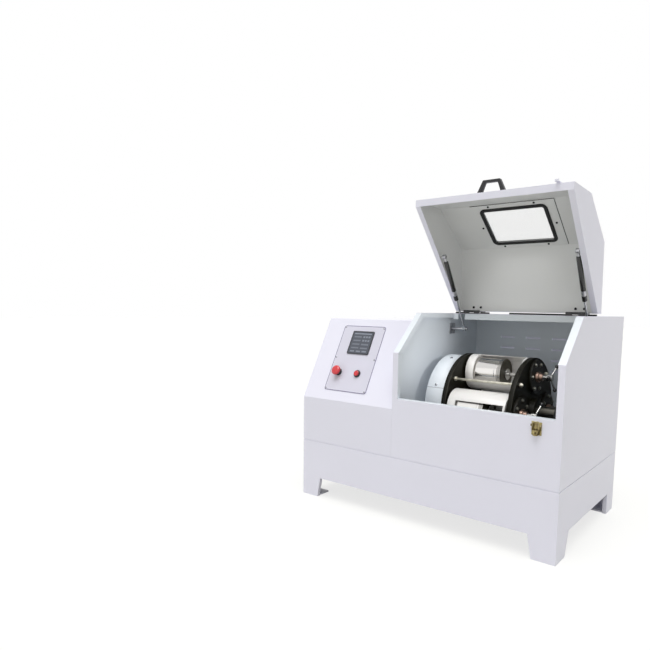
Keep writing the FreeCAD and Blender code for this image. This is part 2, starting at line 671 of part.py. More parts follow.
def make_lid():
    """Folded lid with cheeks, rim flanges, window opening, catch and strut studs."""
    rim_run = as_size(lid_g[0] - lid_return[0]).value
    rim_rise = as_size(lid_g[1] - lid_return[1]).value
    rim_length = math.hypot(rim_run, rim_rise)
    solid = side_outline([lid_a, lid_b, lid_c, lid_e, lid_g, lid_return], lid_left,
                         lid_right - lid_left)
    inner_b, inner_c, inner_e = lid_inner(d.sheet)
    floor = (lid_a[0] + d.sheet, lid_a[1] + d.sheet)
    shift_y = d.sheet * (rim_rise / rim_length)
    shift_z = d.sheet * (rim_run / rim_length)
    low_front = (lid_return[0] - shift_y, lid_return[1] + shift_z + d.sheet)
    low_back = (inner_e[0], lid_g[1] + shift_z)
    rim_fold = side_outline([floor, inner_b, inner_c, inner_e, low_back, low_front],
                            lid_left + d.sheet, lid_right - lid_left - 2 * d.sheet)
    below = d.sheet * 2
    mouth = side_outline([floor, inner_b, inner_c, inner_e, (low_back[0], lid_g[1] - below),
                          (lid_return[0], lid_a[1] - below),
                          (lid_return[0], lid_a[1] + d.sheet)],
                         lid_left + d.lid_rim_flange,
                         lid_right - lid_left - 2 * d.lid_rim_flange)
    opening = rounded_plate(
        (lid_middle - d.window_width / 2 + d.gasket_lap, d.window_foot + d.gasket_lap,
         0 - 3 * d.sheet),
        (lid_middle + d.window_width / 2 - d.gasket_lap,
         d.window_foot + d.window_height - d.gasket_lap, 2 * d.sheet),
        d.window_corner - d.gasket_lap)
    opening.Placement = frame_on(lid_b, lid_c)
    catch_x0, catch_x1 = d.latch_x - d.catch_width / 2, d.latch_x + d.catch_width / 2
    catch_in = front - d.catch_gap
    catch_out = catch_in - d.catch_plate
    lip_out = catch_out - d.catch_mouth - d.latch_metal
    catch_low, catch_high = d.sill_height - d.catch_drop, d.sill_height + d.catch_top
    catch = join([
        block((catch_x0, catch_out, catch_low), (catch_x1, catch_in, catch_high)),
        block((catch_x0, catch_out, lid_a[1] + d.sheet),
              (catch_x1, lid_a[0] + d.sheet, catch_high)),
        block((catch_x0, lip_out, catch_low), (catch_x1, catch_in, catch_low + d.latch_metal)),
        block((catch_x0, lip_out, catch_low),
              (catch_x1, lip_out + d.latch_metal, catch_low + d.catch_lip)),
    ])
    shell = cut(solid, [rim_fold, mouth, opening])
    studs = []
    head = swing_open.inverse().multVec(Vector(0, d.strut_head_y.value, d.strut_head_z.value))
    reach = d.strut_inset - d.strut_eye_width / 2 - d.fit_gap - d.sheet
    for x0, away in ((lid_left + d.sheet, 0), (lid_right - d.sheet - reach, 1)):
        stud = rod("x", (x0, 0, 0), reach, d.strut_stud_radius)
        collar_x = x0 if away == 0 else x0 + reach - d.sheet
        collar = rod("x", (collar_x, 0, 0), d.sheet, d.strut_stud_radius * 2)
        for piece in (stud, collar):
            piece.setExpression("Placement.Base.y", None)
            piece.setExpression("Placement.Base.z", None)
            piece.Placement.Base = Vector(piece.Placement.Base.x, head.y, head.z)
        studs += [stud, collar]
    finish("lid_shell", join([shell, catch] + studs), swing_open)


def make_window():
    """Frame plate, rubber gasket, clear pane and screws in the lid's slope."""
    half = d.window_width / 2
    low = (lid_middle - half, d.window_foot)
    high = (lid_middle + half, d.window_foot + d.window_height)
    inner = 0 - d.sheet - d.frame_thickness
    edge = d.gasket_lap
    plate = block((lid_middle - d.frame_width / 2, d.frame_foot, inner),
                  (lid_middle + d.frame_width / 2, d.frame_foot + d.frame_height, 0 - d.sheet))
    hole = rounded_plate((low[0] + edge, low[1] + edge, inner - d.sheet),
                         (high[0] - edge, high[1] - edge, d.sheet), d.window_corner - edge)
    finish("window_frame", cut(plate, [hole]), on_lid_slope)

    groove = edge + d.fit_gap
    web = rounded_plate((low[0] + groove, low[1] + groove, inner - d.gasket_proud),
                        (high[0] - groove, high[1] - groove, d.gasket_proud),
                        d.window_corner - groove)
    lips = [
        rounded_plate((low[0], low[1], inner - d.gasket_proud), (high[0], high[1], inner),
                      d.window_corner),
        rounded_plate((low[0], low[1], 0), (high[0], high[1], d.gasket_proud),
                      d.window_corner),
    ]
    band = d.gasket_band + edge
    pane_low = inner / 2 - d.pane_thickness / 2
    pane_slot = rounded_plate(
        (low[0] + d.gasket_band - d.fit_gap, low[1] + d.gasket_band - d.fit_gap,
         pane_low - d.fit_gap),
        (high[0] - d.gasket_band + d.fit_gap, high[1] - d.gasket_band + d.fit_gap,
         pane_low + d.pane_thickness + d.fit_gap), d.window_corner - d.gasket_band)
    sight = rounded_plate((low[0] + band, low[1] + band, inner - 2 * d.gasket_proud),
                          (high[0] - band, high[1] - band, 2 * d.gasket_proud),
                          d.window_corner - band)
    finish("window_gasket", cut(join([web] + lips), [sight, pane_slot]), on_lid_slope)
    pane = rounded_plate((low[0] + d.gasket_band, low[1] + d.gasket_band, pane_low),
                         (high[0] - d.gasket_band, high[1] - d.gasket_band,
                          pane_low + d.pane_thickness), d.window_corner - d.gasket_band)
    finish("window_pane", pane, on_lid_slope)

    screws = []
    centre = d.frame_foot + d.frame_height / 2
    reach = d.frame_height / 2 - d.screw_radius * 2
    spots = [(sign * d.frame_screw_x, centre + side * reach) for sign in (-1, 1)
             for side in (-1, 1)]
    spots += [(sign * d.frame_screw_side, centre) for sign in (-1, 1)]
    for across, along in spots:
        screw = rod("z", (lid_middle + across, along, inner - d.screw_head), d.screw_head,
                    d.screw_radius)
        screws.append(placed(screw, on_lid_slope))
    length = distance(lid_c, lid_e)
    for sign in (-1, 1):
        for side in (-1, 1):
            x = lid_middle + sign * d.hinge_spread + side * d.hinge_screw_x
            along = length - d.hinge_screw_inset
            screw = rod("z", (x, along, 0 - d.sheet - d.screw_head), d.screw_head,
                        d.screw_radius)
            screws.append(placed(screw, on_lid_top))
    finish("lid_screws", group(screws))


def placed(item, frame):
    """Move a piece that was laid out in a frame of its own to its place."""
    item.recompute()
    for axis in "xyz":
        item.setExpression(f"Placement.Base.{axis}", None)
    item.Placement = frame.multiply(item.Placement)
    return item


def make_handle():
    """Bridge handle on the outer face of the lid's front."""
    foot, crown = d.handle_length / 2, d.handle_top_length / 2
    inner_foot, inner_crown = foot - d.handle_leg, crown - d.handle_leg / 2
    inner_top = d.handle_height - d.handle_bar
    points = [
        (lid_middle - foot, 0), (lid_middle - crown, d.handle_height),
        (lid_middle + crown, d.handle_height), (lid_middle + foot, 0),
        (lid_middle + inner_foot, 0), (lid_middle + inner_crown, inner_top),
        (lid_middle - inner_crown, inner_top), (lid_middle - inner_foot, 0),
    ]
    bridge = outline("XZ_Plane", points, 0 - d.handle_rise - d.handle_depth / 2, d.handle_depth)
    finish("lid_handle", bridge, on_lid_front)


def make_hinges():
    """Two butt hinges between the rear deck and the lid's back edge."""
    cabinet_leaves = []
    lid_leaves = []
    outer = d.hinge_width / 3 - d.fit_gap
    web = d.knuckle_radius - d.fit_gap
    for sign in (-1, 1):
        middle = lid_middle + sign * d.hinge_spread
        x0, x1 = middle - d.hinge_width / 2, middle + d.hinge_width / 2
        leaf = [block((x0, hinge_y - web, top),
                      (x1, hinge_y - web + d.hinge_leaf_length, top + d.hinge_leaf))]
        bores = []
        for start in (x0, x1 - outer):
            leaf.append(block((start, hinge_y - web, top), (start + outer, hinge_y + web, hinge_z)))
            leaf.append(rod("x", (start, hinge_y, hinge_z), outer, d.knuckle_radius))
            bores.append(rod("x", (start, hinge_y, hinge_z), outer,
                             d.pin_radius + d.running_gap))
        cabinet_leaves.append(cut(join(leaf), bores))
        centre = x1 - outer - d.fit_gap - (x0 + outer + d.fit_gap)
        wrap_top = lid_e[1] + d.hinge_leaf
        lid_leaf = [
            rod("x", (x0 + outer + d.fit_gap, hinge_y, hinge_z), centre, d.knuckle_radius),
            rod("x", (x0, hinge_y, hinge_z), d.hinge_width, d.pin_radius),
            block((x0 + outer + d.fit_gap, hinge_y, hinge_z),
                  (x1 - outer - d.fit_gap, hinge_y + d.hinge_leaf, lid_g[1])),
            block((x0, hinge_y, lid_g[1]), (x1, hinge_y + d.hinge_leaf, wrap_top)),
            block((x0, hinge_y - d.hinge_wrap, lid_e[1]), (x1, hinge_y + d.hinge_leaf, wrap_top)),
        ]
        lid_leaves.append(join(lid_leaf))
    finish("cabinet_hinge_leaves", group(cabinet_leaves))
    finish("lid_hinge_leaves", group(lid_leaves), swing_open)


def make_latch():
    """Draw latch on the chamber front, under the sill: base, lever and the loop it carries."""
    x0, x1 = d.latch_x - d.latch_width / 2, d.latch_x + d.latch_width / 2
    z1 = d.sill_height - d.latch_drop
    z0 = z1 - d.latch_height
    pivot_y = front - d.latch_pivot_out
    pivot_z = z1 - d.latch_pivot_drop
    boss = d.latch_boss
    ears = []
    for start in (x0, x1 - d.latch_plate):
        ears.append(block((start, pivot_y - boss, pivot_z - boss),
                          (start + d.latch_plate, front, pivot_z + boss)))
    base = join([block((x0, front - d.latch_plate, z0), (x1, front, z1))] + ears)
    hole = rod("x", (x0, pivot_y, pivot_z), d.latch_width, d.latch_pin_radius + d.running_gap)
    finish("latch_base", cut(base, [hole]))

    loop_y = pivot_y + d.loop_pivot_in
    loop_z = pivot_z - d.loop_pivot_drop
    metal = d.latch_metal
    flange_x0, flange_x1 = x0 + d.latch_plate + d.fit_gap, x1 - d.latch_plate - d.fit_gap
    face = pivot_y - boss
    heel = loop_y + 2 * d.loop_radius
    profile = [(face, z0), (face, pivot_z), (pivot_y + boss, pivot_z), (heel, loop_z),
               (heel, loop_z - 2 * metal), (pivot_y, z0)]
    sides = []
    pins = []
    for start, pin in ((flange_x0, x0), (flange_x1 - metal, flange_x1 - metal)):
        sides.append(side_outline(profile, start, metal))
        sides.append(rod("x", (start, pivot_y, pivot_z), metal, boss))
        pins.append(rod("x", (pin, pivot_y, pivot_z), flange_x0 + metal - x0,
                        d.latch_pin_radius))
    plate = block((flange_x0, face, z0), (flange_x1, face + metal, pivot_z - d.latch_face_drop))
    tab = block((flange_x0, face - d.latch_tab, z0), (flange_x1, face + metal, z0 + metal))
    holes = rod("x", (x0, loop_y, loop_z), d.latch_width, d.loop_radius + d.running_gap)
    finish("latch_lever", join([cut(join(sides + [plate, tab]), [holes])] + pins))

    left, right = d.latch_x - d.loop_half_width, d.latch_x + d.loop_half_width
    lean = math.degrees(math.atan2(d.loop_lean.value, d.loop_height.value))
    length = math.hypot(d.loop_lean.value, d.loop_height.value)
    leaning = Placement(Vector(0, loop_y.value, loop_z.value), Rotation(ALONG_X, lean))
    wire = d.loop_radius
    pieces = [rod("x", (left, 0, length), right - left, wire),
              rod("x", (flange_x0, 0, 0), left - flange_x0, wire),
              rod("x", (right, 0, 0), flange_x1 - right, wire)]
    for x in (left, right):
        pieces += [rod("z", (x, 0, 0), length, wire), ball((x, 0, 0), wire),
                   ball((x, 0, length), wire)]
    finish("latch_loop", join([placed(piece, leaning) for piece in pieces]))


# Gas struts

strut_foot = Vector(0, d.strut_foot_y.value, d.strut_foot_z.value)
strut_head = Vector(0, d.strut_head_y.value, d.strut_head_z.value)
strut_x = (lid_left + d.strut_inset, lid_right - d.strut_inset)


def make_struts():
    """Two gas struts with their wall brackets; each is laid out along Z from its foot."""
    along = strut_head - strut_foot
    length = along.Length
    tilt = math.degrees(math.atan2(0 - along.y, along.z))
    half = d.strut_eye_width / 2
    rods = []
    tubes = []
    brackets = []
    for x in strut_x:
        frame = Placement(strut_foot, Rotation(ALONG_X, tilt))
        eye = rod("x", (x - half, 0, 0), d.strut_eye_width, d.strut_eye_radius)
        shank = rod("z", (x, 0, 0), d.strut_rod_length, d.strut_rod_radius)
        bore = rod("x", (x - half, 0, 0), d.strut_eye_width, d.strut_stud_radius + d.running_gap)
        rods.append(placed(cut(join([eye, shank]), [bore]), frame))
        head = as_size(length)
        tube_low = head - d.strut_tube_end
        tube_top = head - d.strut_tube_top
        tube = join([
            rod("z", (x, 0, tube_low), d.strut_tube_end - d.strut_tube_top,
                d.strut_tube_radius),
            rod("z", (x, 0, tube_top), d.strut_tube_top, d.strut_neck_radius),
            rod("x", (x - half, 0, head), d.strut_eye_width, d.strut_eye_radius),
        ])
        slide = rod("z", (x, 0, tube_low), d.strut_tube_end - d.strut_tube_top - d.strut_collar,
                    d.strut_rod_radius + d.running_gap)
        tubes.append(placed(cut(tube, [slide]), frame))
    wall_left, wall_right = chamber_left + d.sheet, half_width - d.sheet
    end = half + d.strut_collar
    plate = d.strut_plate_size / 2
    for wall, x, sign in ((wall_left, strut_x[0], 1), (wall_right, strut_x[1], -1)):
        base = wall if sign > 0 else wall - d.strut_plate
        reach = (x - wall + end) if sign > 0 else (wall - x + end)
        start = wall if sign > 0 else wall - reach
        shoulder = reach - d.strut_eye_width - d.strut_collar - d.fit_gap
        shoulder_start = wall if sign > 0 else wall - shoulder
        cap_gap = x + half + d.fit_gap if sign > 0 else x - half - d.fit_gap - d.sheet
        brackets.append(join([
            block((base, d.strut_foot_y - plate, d.strut_foot_z - plate),
                  (base + d.strut_plate, d.strut_foot_y + plate, d.strut_foot_z + plate)),
            rod("x", (start, d.strut_foot_y, d.strut_foot_z), reach, d.strut_stud_radius),
            rod("x", (shoulder_start, d.strut_foot_y, d.strut_foot_z), shoulder,
                d.strut_pin_head),
            rod("x", (cap_gap, d.strut_foot_y, d.strut_foot_z), d.sheet, d.strut_pin_head),
        ]))
    finish("strut_rods", group(rods))
    finish("strut_tubes", group(tubes))
    finish("strut_brackets", group(brackets))


# Rotor

axis_z = d.rotor_height
station_angles = [90 - d.rotor_phase.value + 90 * index for index in
                  range(int(d.stations.value))]


def polar(radius, angle):
    """A place round the rotor axis; the angle runs from +Y towards +Z."""
    return (radius * cosine(angle), axis_z + radius * sine(angle))


def station_bores(start, length, radius):
    bores = []
    for angle in station_angles:
        y, z = polar(d.orbit, angle)
        bores.append(rod("x", (start, y, z), length, radius))
    return bores


def tie_places():
    step = 360 / d.stations.value
    return [polar(d.tie_orbit, angle + step / 2 + d.tie_phase.value)
            for angle in station_angles]


def make_carrier():
    """Two black discs on the main shaft, tied by four rods, with the jar bearings."""
    left_x, right_x = d.left_disc_x, d.right_disc_x
    discs = []
    for x, boss, hub_start in ((left_x, d.left_bearing_boss, left_x + d.disc_thickness),
                               (right_x, d.bearing_boss, right_x + d.disc_thickness)):
        disc = join([
            rod("x", (x, 0, axis_z), d.disc_thickness, d.disc_radius),
            rod("x", (hub_start, 0, axis_z), d.hub_length, d.hub_radius),
        ])
        holes = station_bores(x, d.disc_thickness, boss + d.fit_gap)
        holes += [rod("x", (x, y, z), d.disc_thickness, d.tie_radius + d.fit_gap)
                  for y, z in tie_places()]
        holes.append(rod("x", (x, 0, axis_z), d.disc_thickness + d.hub_length,
                         d.shaft_radius + d.running_gap))
        discs.append(cut(disc, holes))
    finish("carrier_discs", group(discs))
    finish("main_shaft", rod("x", (d.shaft_start, 0, axis_z), d.shaft_end - d.shaft_start,
                             d.shaft_radius))
    ties = []
    inner = left_x + d.disc_thickness
    outer = right_x + d.disc_thickness
    for y, z in tie_places():
        ties.append(join([
            rod("x", (left_x, y, z), outer + d.tie_end - left_x, d.tie_radius),
            rod("x", (inner, y, z), d.tie_nut_length, d.tie_nut_radius),
            rod("x", (right_x - d.tie_nut_length, y, z), d.tie_nut_length, d.tie_nut_radius),
            rod("x", (outer, y, z), d.tie_nut_length, d.tie_nut_radius),
        ]))
    finish("tie_rods", group(ties))
    units = []
    for angle in station_angles:
        y, z = polar(d.orbit, angle)
        right_unit = join([
            rod("x", (outer, y, z), d.flange_thickness, d.flange_radius),
            rod("x", (right_x, y, z), d.disc_thickness, d.bearing_boss),
        ])
        units.append(cut(right_unit, [rod("x", (right_x, y, z),
                                          d.disc_thickness + d.flange_thickness,
                                          d.trunnion_radius + d.running_gap)]))
        left_unit = join([
            rod("x", (inner, y, z), d.left_flange_thickness, d.left_flange_radius),
            rod("x", (left_x, y, z), d.disc_thickness, d.left_bearing_boss),
        ])
        units.append(cut(left_unit, [rod("x", (left_x, y, z),
                                         d.disc_thickness + d.left_flange_thickness,
                                         d.stub_radius + d.running_gap)]))
    finish("planet_bearings", group(units))


def window_tool():
    """The straight slot in the holder's wall that the jar passes, opening towards -Y."""
    half = d.jar_radius + d.window_gap
    return block((d.window_start, 0 - d.holder_radius * 2, 0 - half), (d.window_end, 0, half))


def make_station(index, angle):
    """One jar station: tube holder, jar, jar lid, clamp screw, spoked handle and its gear."""
    y, z = polar(d.orbit, angle)
    turn = 0 - (d.upper_window.value + d.window_step.value * index)
    here = Placement(Vector(0, y.value, z.value), Rotation(ALONG_X, turn))
    number = index + 1
    start, end = d.holder_start, d.holder_end
    wall = d.holder_end_wall
    bore = d.holder_radius - d.holder_wall
    seat_bore = d.jar_radius + d.fit_gap
    tube = cut(rod("x", (start, 0, 0), end - start, d.holder_radius),
               [rod("x", (start + wall + d.holder_seat, 0, 0),
                    end - start - 2 * wall - d.holder_seat, bore),
                rod("x", (start + wall, 0, 0), d.holder_seat, seat_bore),
                window_tool()])
    core = rod("x", (start, 0, 0), wall, bore)
    stub = rod("x", (d.stub_start, 0, 0), start - d.stub_start, d.stub_radius)
    trunnion = rod("x", (end, 0, 0), d.trunnion_end - end, d.trunnion_radius)
    nut = rod("x", (d.trunnion_end, 0, 0), d.trunnion_nut_length, d.trunnion_nut_radius)
    thread = rod("x", (end - 2 * wall, 0, 0), d.trunnion_end - end + 3 * d.trunnion_nut_length,
                 d.clamp_screw_radius + d.running_gap)
    finish(f"holder_{number}", cut(join([tube, core, stub, trunnion, nut]), [thread]), here)

    jar_start = start + wall + d.fit_gap
    jar = cut(rod("x", (jar_start, 0, 0), d.jar_end - jar_start, d.jar_radius),
              [rod("x", (jar_start + d.jar_bottom, 0, 0), d.jar_end - jar_start - d.jar_bottom,
                   d.jar_radius - d.jar_wall)])
    finish(f"jar_{number}", jar, here)
    lid = join([
        rod("x", (d.jar_end, 0, 0), d.jar_lid_thickness, d.jar_radius),
        rod("x", (d.jar_end - d.jar_plug, 0, 0), d.jar_plug,
            d.jar_radius - d.jar_wall - d.fit_gap),
    ])
    finish(f"jar_lid_{number}", lid, here)

    pad = d.jar_end + d.jar_lid_thickness + d.fit_gap
    screw = join([
        rod("x", (pad, 0, 0), d.clamp_pad_thickness, d.clamp_pad_radius),
        rod("x", (pad, 0, 0), d.clamp_screw_end - pad, d.clamp_screw_radius),
    ])
    finish(f"clamp_screw_{number}", screw, here)

    hub_x = d.handle_hub_start
    socket = rod("x", (hub_x, 0, 0), d.clamp_screw_end + d.fit_gap - hub_x,
                 d.clamp_screw_radius + d.running_gap)
    pieces = [rod("x", (hub_x, 0, 0), d.handle_hub_length, d.handle_hub_radius)]
    spoke_x = hub_x + d.handle_hub_length / 2
    for spoke in range(int(d.spokes.value)):
        around = spoke * 360 / d.spokes.value
        lean = d.spoke_lean.value
        arm = rod("z", (spoke_x, 0, 0), d.spoke_length, d.spoke_radius)
        knob = ball((spoke_x, 0, d.spoke_length), d.knob_radius)
        tilt = Placement(Vector(0, 0, 0), Rotation(Vector(0, 1, 0), lean), Vector(
            spoke_x.value, 0, 0))
        spin = Placement(Vector(0, 0, 0), Rotation(ALONG_X, around))
        for piece in (arm, knob):
            pieces.append(placed(piece, spin.multiply(tilt)))
    handle_turn = Placement(Vector(0, y.value, z.value),
                            Rotation(ALONG_X, d.spoke_phase.value - 90))
    finish(f"clamp_handle_{number}", cut(join(pieces), [socket]), handle_turn)


# Gears: involute teeth from a formula, because no sketch or primitive makes them

DEDENDUM_SHARE = 1.25
FLANK_STEPS = 5


def gear_shape(teeth, bore):
    """A spur gear along X from the gear start, with a tooth centred on +Y."""
    module = d.gear_module.value
    pitch = module * teeth / 2
    base = pitch * math.cos(math.radians(d.pressure_angle.value))
    tip = pitch + module
    root = pitch - module * DEDENDUM_SHARE
    tangent = math.tan(math.radians(d.pressure_angle.value))
    flank_at_pitch = tangent - math.radians(d.pressure_angle.value)
    half_tooth = math.pi / teeth / 2 - d.gear_backlash.value / 2 / pitch

    def flank(radius):
        roll = math.sqrt(max(radius / base, 1) ** 2 - 1)
        return half_tooth + flank_at_pitch - (roll - math.atan(roll))

    low = max(base, root)
    radii = [low + (tip - low) * step / FLANK_STEPS for step in range(FLANK_STEPS + 1)]
    wire_edges = []

    def spot(radius, angle):
        return Vector(0, radius * math.cos(angle), radius * math.sin(angle))

    pitch_angle = 2 * math.pi / teeth
    for tooth in range(teeth):
        centre = tooth * pitch_angle
        up = [spot(radius, centre - flank(radius)) for radius in radii]
        down = [spot(radius, centre + flank(radius)) for radius in reversed(radii)]
        foot_in = spot(root, centre - flank(low))
        foot_out = spot(root, centre + flank(low))
        next_foot = spot(root, centre + pitch_angle - flank(low))
        if base > root:
            wire_edges.append(Part.makeLine(foot_in, up[0]))
        curve = Part.BSplineCurve()
        curve.interpolate(up)
        wire_edges.append(curve.toShape())
        wire_edges.append(Part.Arc(up[-1], spot(tip, centre), down[0]).toShape())
        curve = Part.BSplineCurve()
        curve.interpolate(down)
        wire_edges.append(curve.toShape())
        if base > root:
            wire_edges.append(Part.makeLine(down[-1], foot_out))
        valley = spot(root, centre + pitch_angle / 2)
        wire_edges.append(Part.Arc(foot_out, valley, next_foot).toShape())
    face = Part.Face(Part.Wire(wire_edges))
    solid = face.extrude(Vector(d.gear_width.value, 0, 0))
    hole = Part.makeCylinder(bore, d.gear_width.value, Vector(0, 0, 0), ALONG_X)
    solid = solid.cut(hole)
    solid.translate(Vector(d.gear_start.value, 0, 0))
    return solid


def feature(shape):
    item = doc.addObject("Part::Feature", "Shape")
    item.Shape = shape
    return item


def make_gears():
    """The fixed sun gear and, in mesh with it, the gear of each station."""
    sun_teeth, planet_teeth = int(d.sun_teeth.value), int(d.planet_teeth.value)
    sun = feature(gear_shape(sun_teeth, d.sun_hub_radius.value + d.running_gap.value))
    finish("sun_gear", sun, Placement(Vector(0, 0, axis_z.value), Rotation()))
    for index, angle in enumerate(station_angles):
        pitches = angle / (360 / sun_teeth)
        share = pitches - math.floor(pitches)
        gap = angle + 180 + share * 360 / planet_teeth
        y, z = polar(d.orbit, angle)
        gear = feature(gear_shape(planet_teeth, d.stub_radius.value + d.running_gap.value))
        finish(f"planet_gear_{index + 1}", gear,
               Placement(Vector(0, y.value, z.value),
                         Rotation(ALONG_X, gap + 180 / planet_teeth)))


def make_guard():
    """Half-round sheet guard over the gears, open towards the rotor."""
    x0, x1 = d.guard_start, d.guard_start + d.guard_width
    radius, thin = d.guard_radius, d.guard_sheet
    low = d.bed_top
    solid = join([
        rod("x", (x0, 0, axis_z), x1 - x0, radius),
        block((x0, 0 - radius, low), (x1, radius, axis_z)),
    ])
    hollow = join([
        rod("x", (x0 + thin, 0, axis_z), x1 - x0, radius - thin),
        block((x0 + thin, thin - radius, low), (x1 + thin, radius - thin, axis_z)),
    ])
    below = block((x0, 0 - radius, low - radius), (x1, radius, low))
    hub = rod("x", (x0, 0, axis_z), thin, d.pedestal_radius)
    feet = [
        block((x0, 0 - radius - d.guard_flange, low), (x1, thin - radius, low + thin)),
        block((x0, radius - thin, low), (x1, radius + d.guard_flange, low + thin)),
    ]
    finish("gear_guard", join([cut(solid, [hollow, below, hub])] + feet))


def make_pedestals():
    """Bearing pedestals on the bed, each with its bearing insert."""
    pieces = []
    width = d.pedestal_width
    seat = width - d.pedestal_shoulder
    for x, nose in ((d.left_pedestal_x, d.nose_end), (d.right_pedestal_x, None)):
        neck = d.pedestal_neck / 2
        foot = d.pedestal_base / 2
        rise = d.bed_top + d.pedestal_base_height
        web = side_outline([(0 - neck, rise), (0 - d.pedestal_radius, axis_z),
                            (d.pedestal_radius, axis_z), (neck, rise)], x, width)
        parts = [web, block((x, 0 - foot, d.bed_top), (x + width, foot, rise)),
                 rod("x", (x, 0, axis_z), width, d.pedestal_radius)]
        if nose is not None:
            parts.append(rod("x", (x + width, 0, axis_z), nose - x - width, d.sun_hub_radius))
        reach = width if nose is None else nose - x
        bores = [rod("x", (x, 0, axis_z), seat, d.insert_radius + d.fit_gap),
                 rod("x", (x, 0, axis_z), reach, (d.shaft_radius + d.sun_hub_radius) / 2)]
        pieces.append(cut(join(parts), bores))
        pieces.append(cut(rod("x", (x, 0, axis_z), seat, d.insert_radius),
                          [rod("x", (x, 0, axis_z), seat, d.shaft_radius + d.running_gap)]))
    finish("bearing_pedestals", group(pieces))


motor_z = d.bed_top + d.motor_height


def pulley(start, y, z, radius, bore):
    """A flanged belt pulley; its rim is the belt's inner face, less the fit gap."""
    width = d.pulley_width
    side = d.pulley_flange_width
    body = join([
        rod("x", (start, y, z), width, radius - d.fit_gap),
        rod("x", (start - side, y, z), side, radius + d.pulley_flange),
        rod("x", (start + width, y, z), side, radius + d.pulley_flange),
    ])
    return cut(body, [rod("x", (start - side, y, z), width + 2 * side, bore)])


def make_drive():
    """Motor, its pulley, the belt and the pulley on the main shaft."""
    start, width = d.pulley_start, d.pulley_width
    finish("driven_pulley", pulley(start, 0, axis_z, d.driven_radius,
                                   d.shaft_radius + d.running_gap))
    shaft_low = d.motor_start + d.motor_length / 2
    rotor_shaft = rod("x", (shaft_low, d.motor_y, motor_z),
                      start + width + d.pulley_flange - shaft_low, d.motor_shaft_radius)
    wheel = pulley(start, d.motor_y, motor_z, d.motor_pulley_radius,
                   d.motor_shaft_radius - d.running_gap)
    finish("motor_pulley", join([wheel, rotor_shaft]))

    end = d.motor_start + d.motor_length
    shell = rod("x", (d.motor_start, d.motor_y, motor_z), d.motor_length,
                d.motor_radius - d.motor_fin_depth)
    caps = [rod("x", (x, d.motor_y, motor_z), d.motor_cap_length, d.motor_radius)
            for x in (d.motor_start, end - d.motor_cap_length)]
    fins = []
    count = int(d.motor_fins.value)
    for fin in range(count):
        blade = block((d.motor_start, 0 - d.motor_fin_thickness / 2, 0),
                      (end, d.motor_fin_thickness / 2, d.motor_radius))
        frame = Placement(Vector(0, d.motor_y.value, motor_z.value),
                          Rotation(ALONG_X, fin * 360 / count))
        fins.append(placed(blade, frame))
    foot_x = d.motor_start + d.motor_foot_start
    foot = block((foot_x, d.motor_y - d.motor_foot_width / 2, d.bed_top),
                 (foot_x + d.motor_foot_length, d.motor_y + d.motor_foot_width / 2,
                  d.bed_top + d.motor_foot_height))
    stand = block((foot_x, d.motor_y - d.motor_stand_width / 2, d.bed_top),
                  (foot_x + d.motor_foot_length, d.motor_y + d.motor_stand_width / 2, motor_z))
    box_x = d.motor_start + d.terminal_start
    box = block((box_x, d.motor_y - d.terminal_box / 2, motor_z),
                (box_x + d.terminal_box, d.motor_y + d.terminal_box / 2,
                 motor_z + d.motor_radius + d.terminal_rise))
    bore = rod("x", (shaft_low - d.fit_gap, d.motor_y, motor_z), end - shaft_low + d.fit_gap,
               d.motor_shaft_radius + d.motor_bore_gap)
    finish("motor", cut(join([shell] + caps + fins + [foot, stand, box]), [bore]))

    def loop(driver, driven):
        """The outline of a belt at one distance from both pulley rims."""
        span_y, span_z = d.motor_y.value, (motor_z - axis_z).value
        reach = math.hypot(span_y, span_z)
        heading = math.atan2(span_z, span_y)
        wrap = math.acos((driven - driver) / reach)

        def spot(centre_y, centre_z, radius, angle):
            return Vector(0, centre_y + radius * math.cos(angle),
                          centre_z + radius * math.sin(angle))

        big = (0, axis_z.value, driven)
        small = (d.motor_y.value, motor_z.value, driver)
        a, b = spot(*big, heading + wrap), spot(*small, heading + wrap)
        e, f = spot(*small, heading - wrap), spot(*big, heading - wrap)
        return Part.Wire([
            Part.makeLine(a, b),
            Part.Arc(b, spot(*small, heading), e).toShape(),
            Part.makeLine(e, f),
            Part.Arc(f, spot(*big, heading + math.pi), a).toShape(),
        ])

    thick = d.belt_thickness.value
    outer = Part.Face(loop(d.motor_pulley_radius.value + thick, d.driven_radius.value + thick))
    inner = Part.Face(loop(d.motor_pulley_radius.value, d.driven_radius.value))
    side = d.fit_gap.value
    belt = outer.cut(inner).extrude(Vector(d.pulley_width.value - 2 * side, 0, 0))
    belt.translate(Vector(d.pulley_start.value + side, 0, 0))
    finish("drive_belt", feature(belt))


GUARD_SCREW_ANGLES = (27, 72, 108, 153)


def make_cabinet_screws():
    """Screws of the fascia, the gear guard and the rear panel."""
    screws = []
    radius, head = d.screw_radius, d.screw_head
    rise = d.fascia_foot
    inset = radius * 2
    for x in (fascia_x0 + inset, fascia_x1 - inset):
        for s in (rise + inset, rise + d.fascia_height / 2, rise + d.fascia_height - inset):
            screws.append(placed(rod("z", (x, s, d.fascia_thickness), head, radius),
                                 on_control_slope))
    guard_x = d.guard_start + d.guard_width / 2
    for angle in GUARD_SCREW_ANGLES:
        frame = Placement(Vector(guard_x.value, 0, axis_z.value),
                          Rotation(ALONG_X, angle - 90))
        screws.append(placed(rod("z", (0, 0, d.guard_radius), head, radius), frame))
    low = d.plinth_height + d.panel_screw_inset
    for x in (d.panel_screw_inset + d.sheet - half_width, 0 - half_width / 2,
              chamber_left + d.panel_screw_inset, half_width / 2,
              half_width - d.sheet - d.panel_screw_inset):
        for z in (low, d.control_height - d.sheet - d.panel_screw_inset):
            screws.append(rod("y", (x, back, z), head, radius))
    finish("cabinet_screws", group(screws))


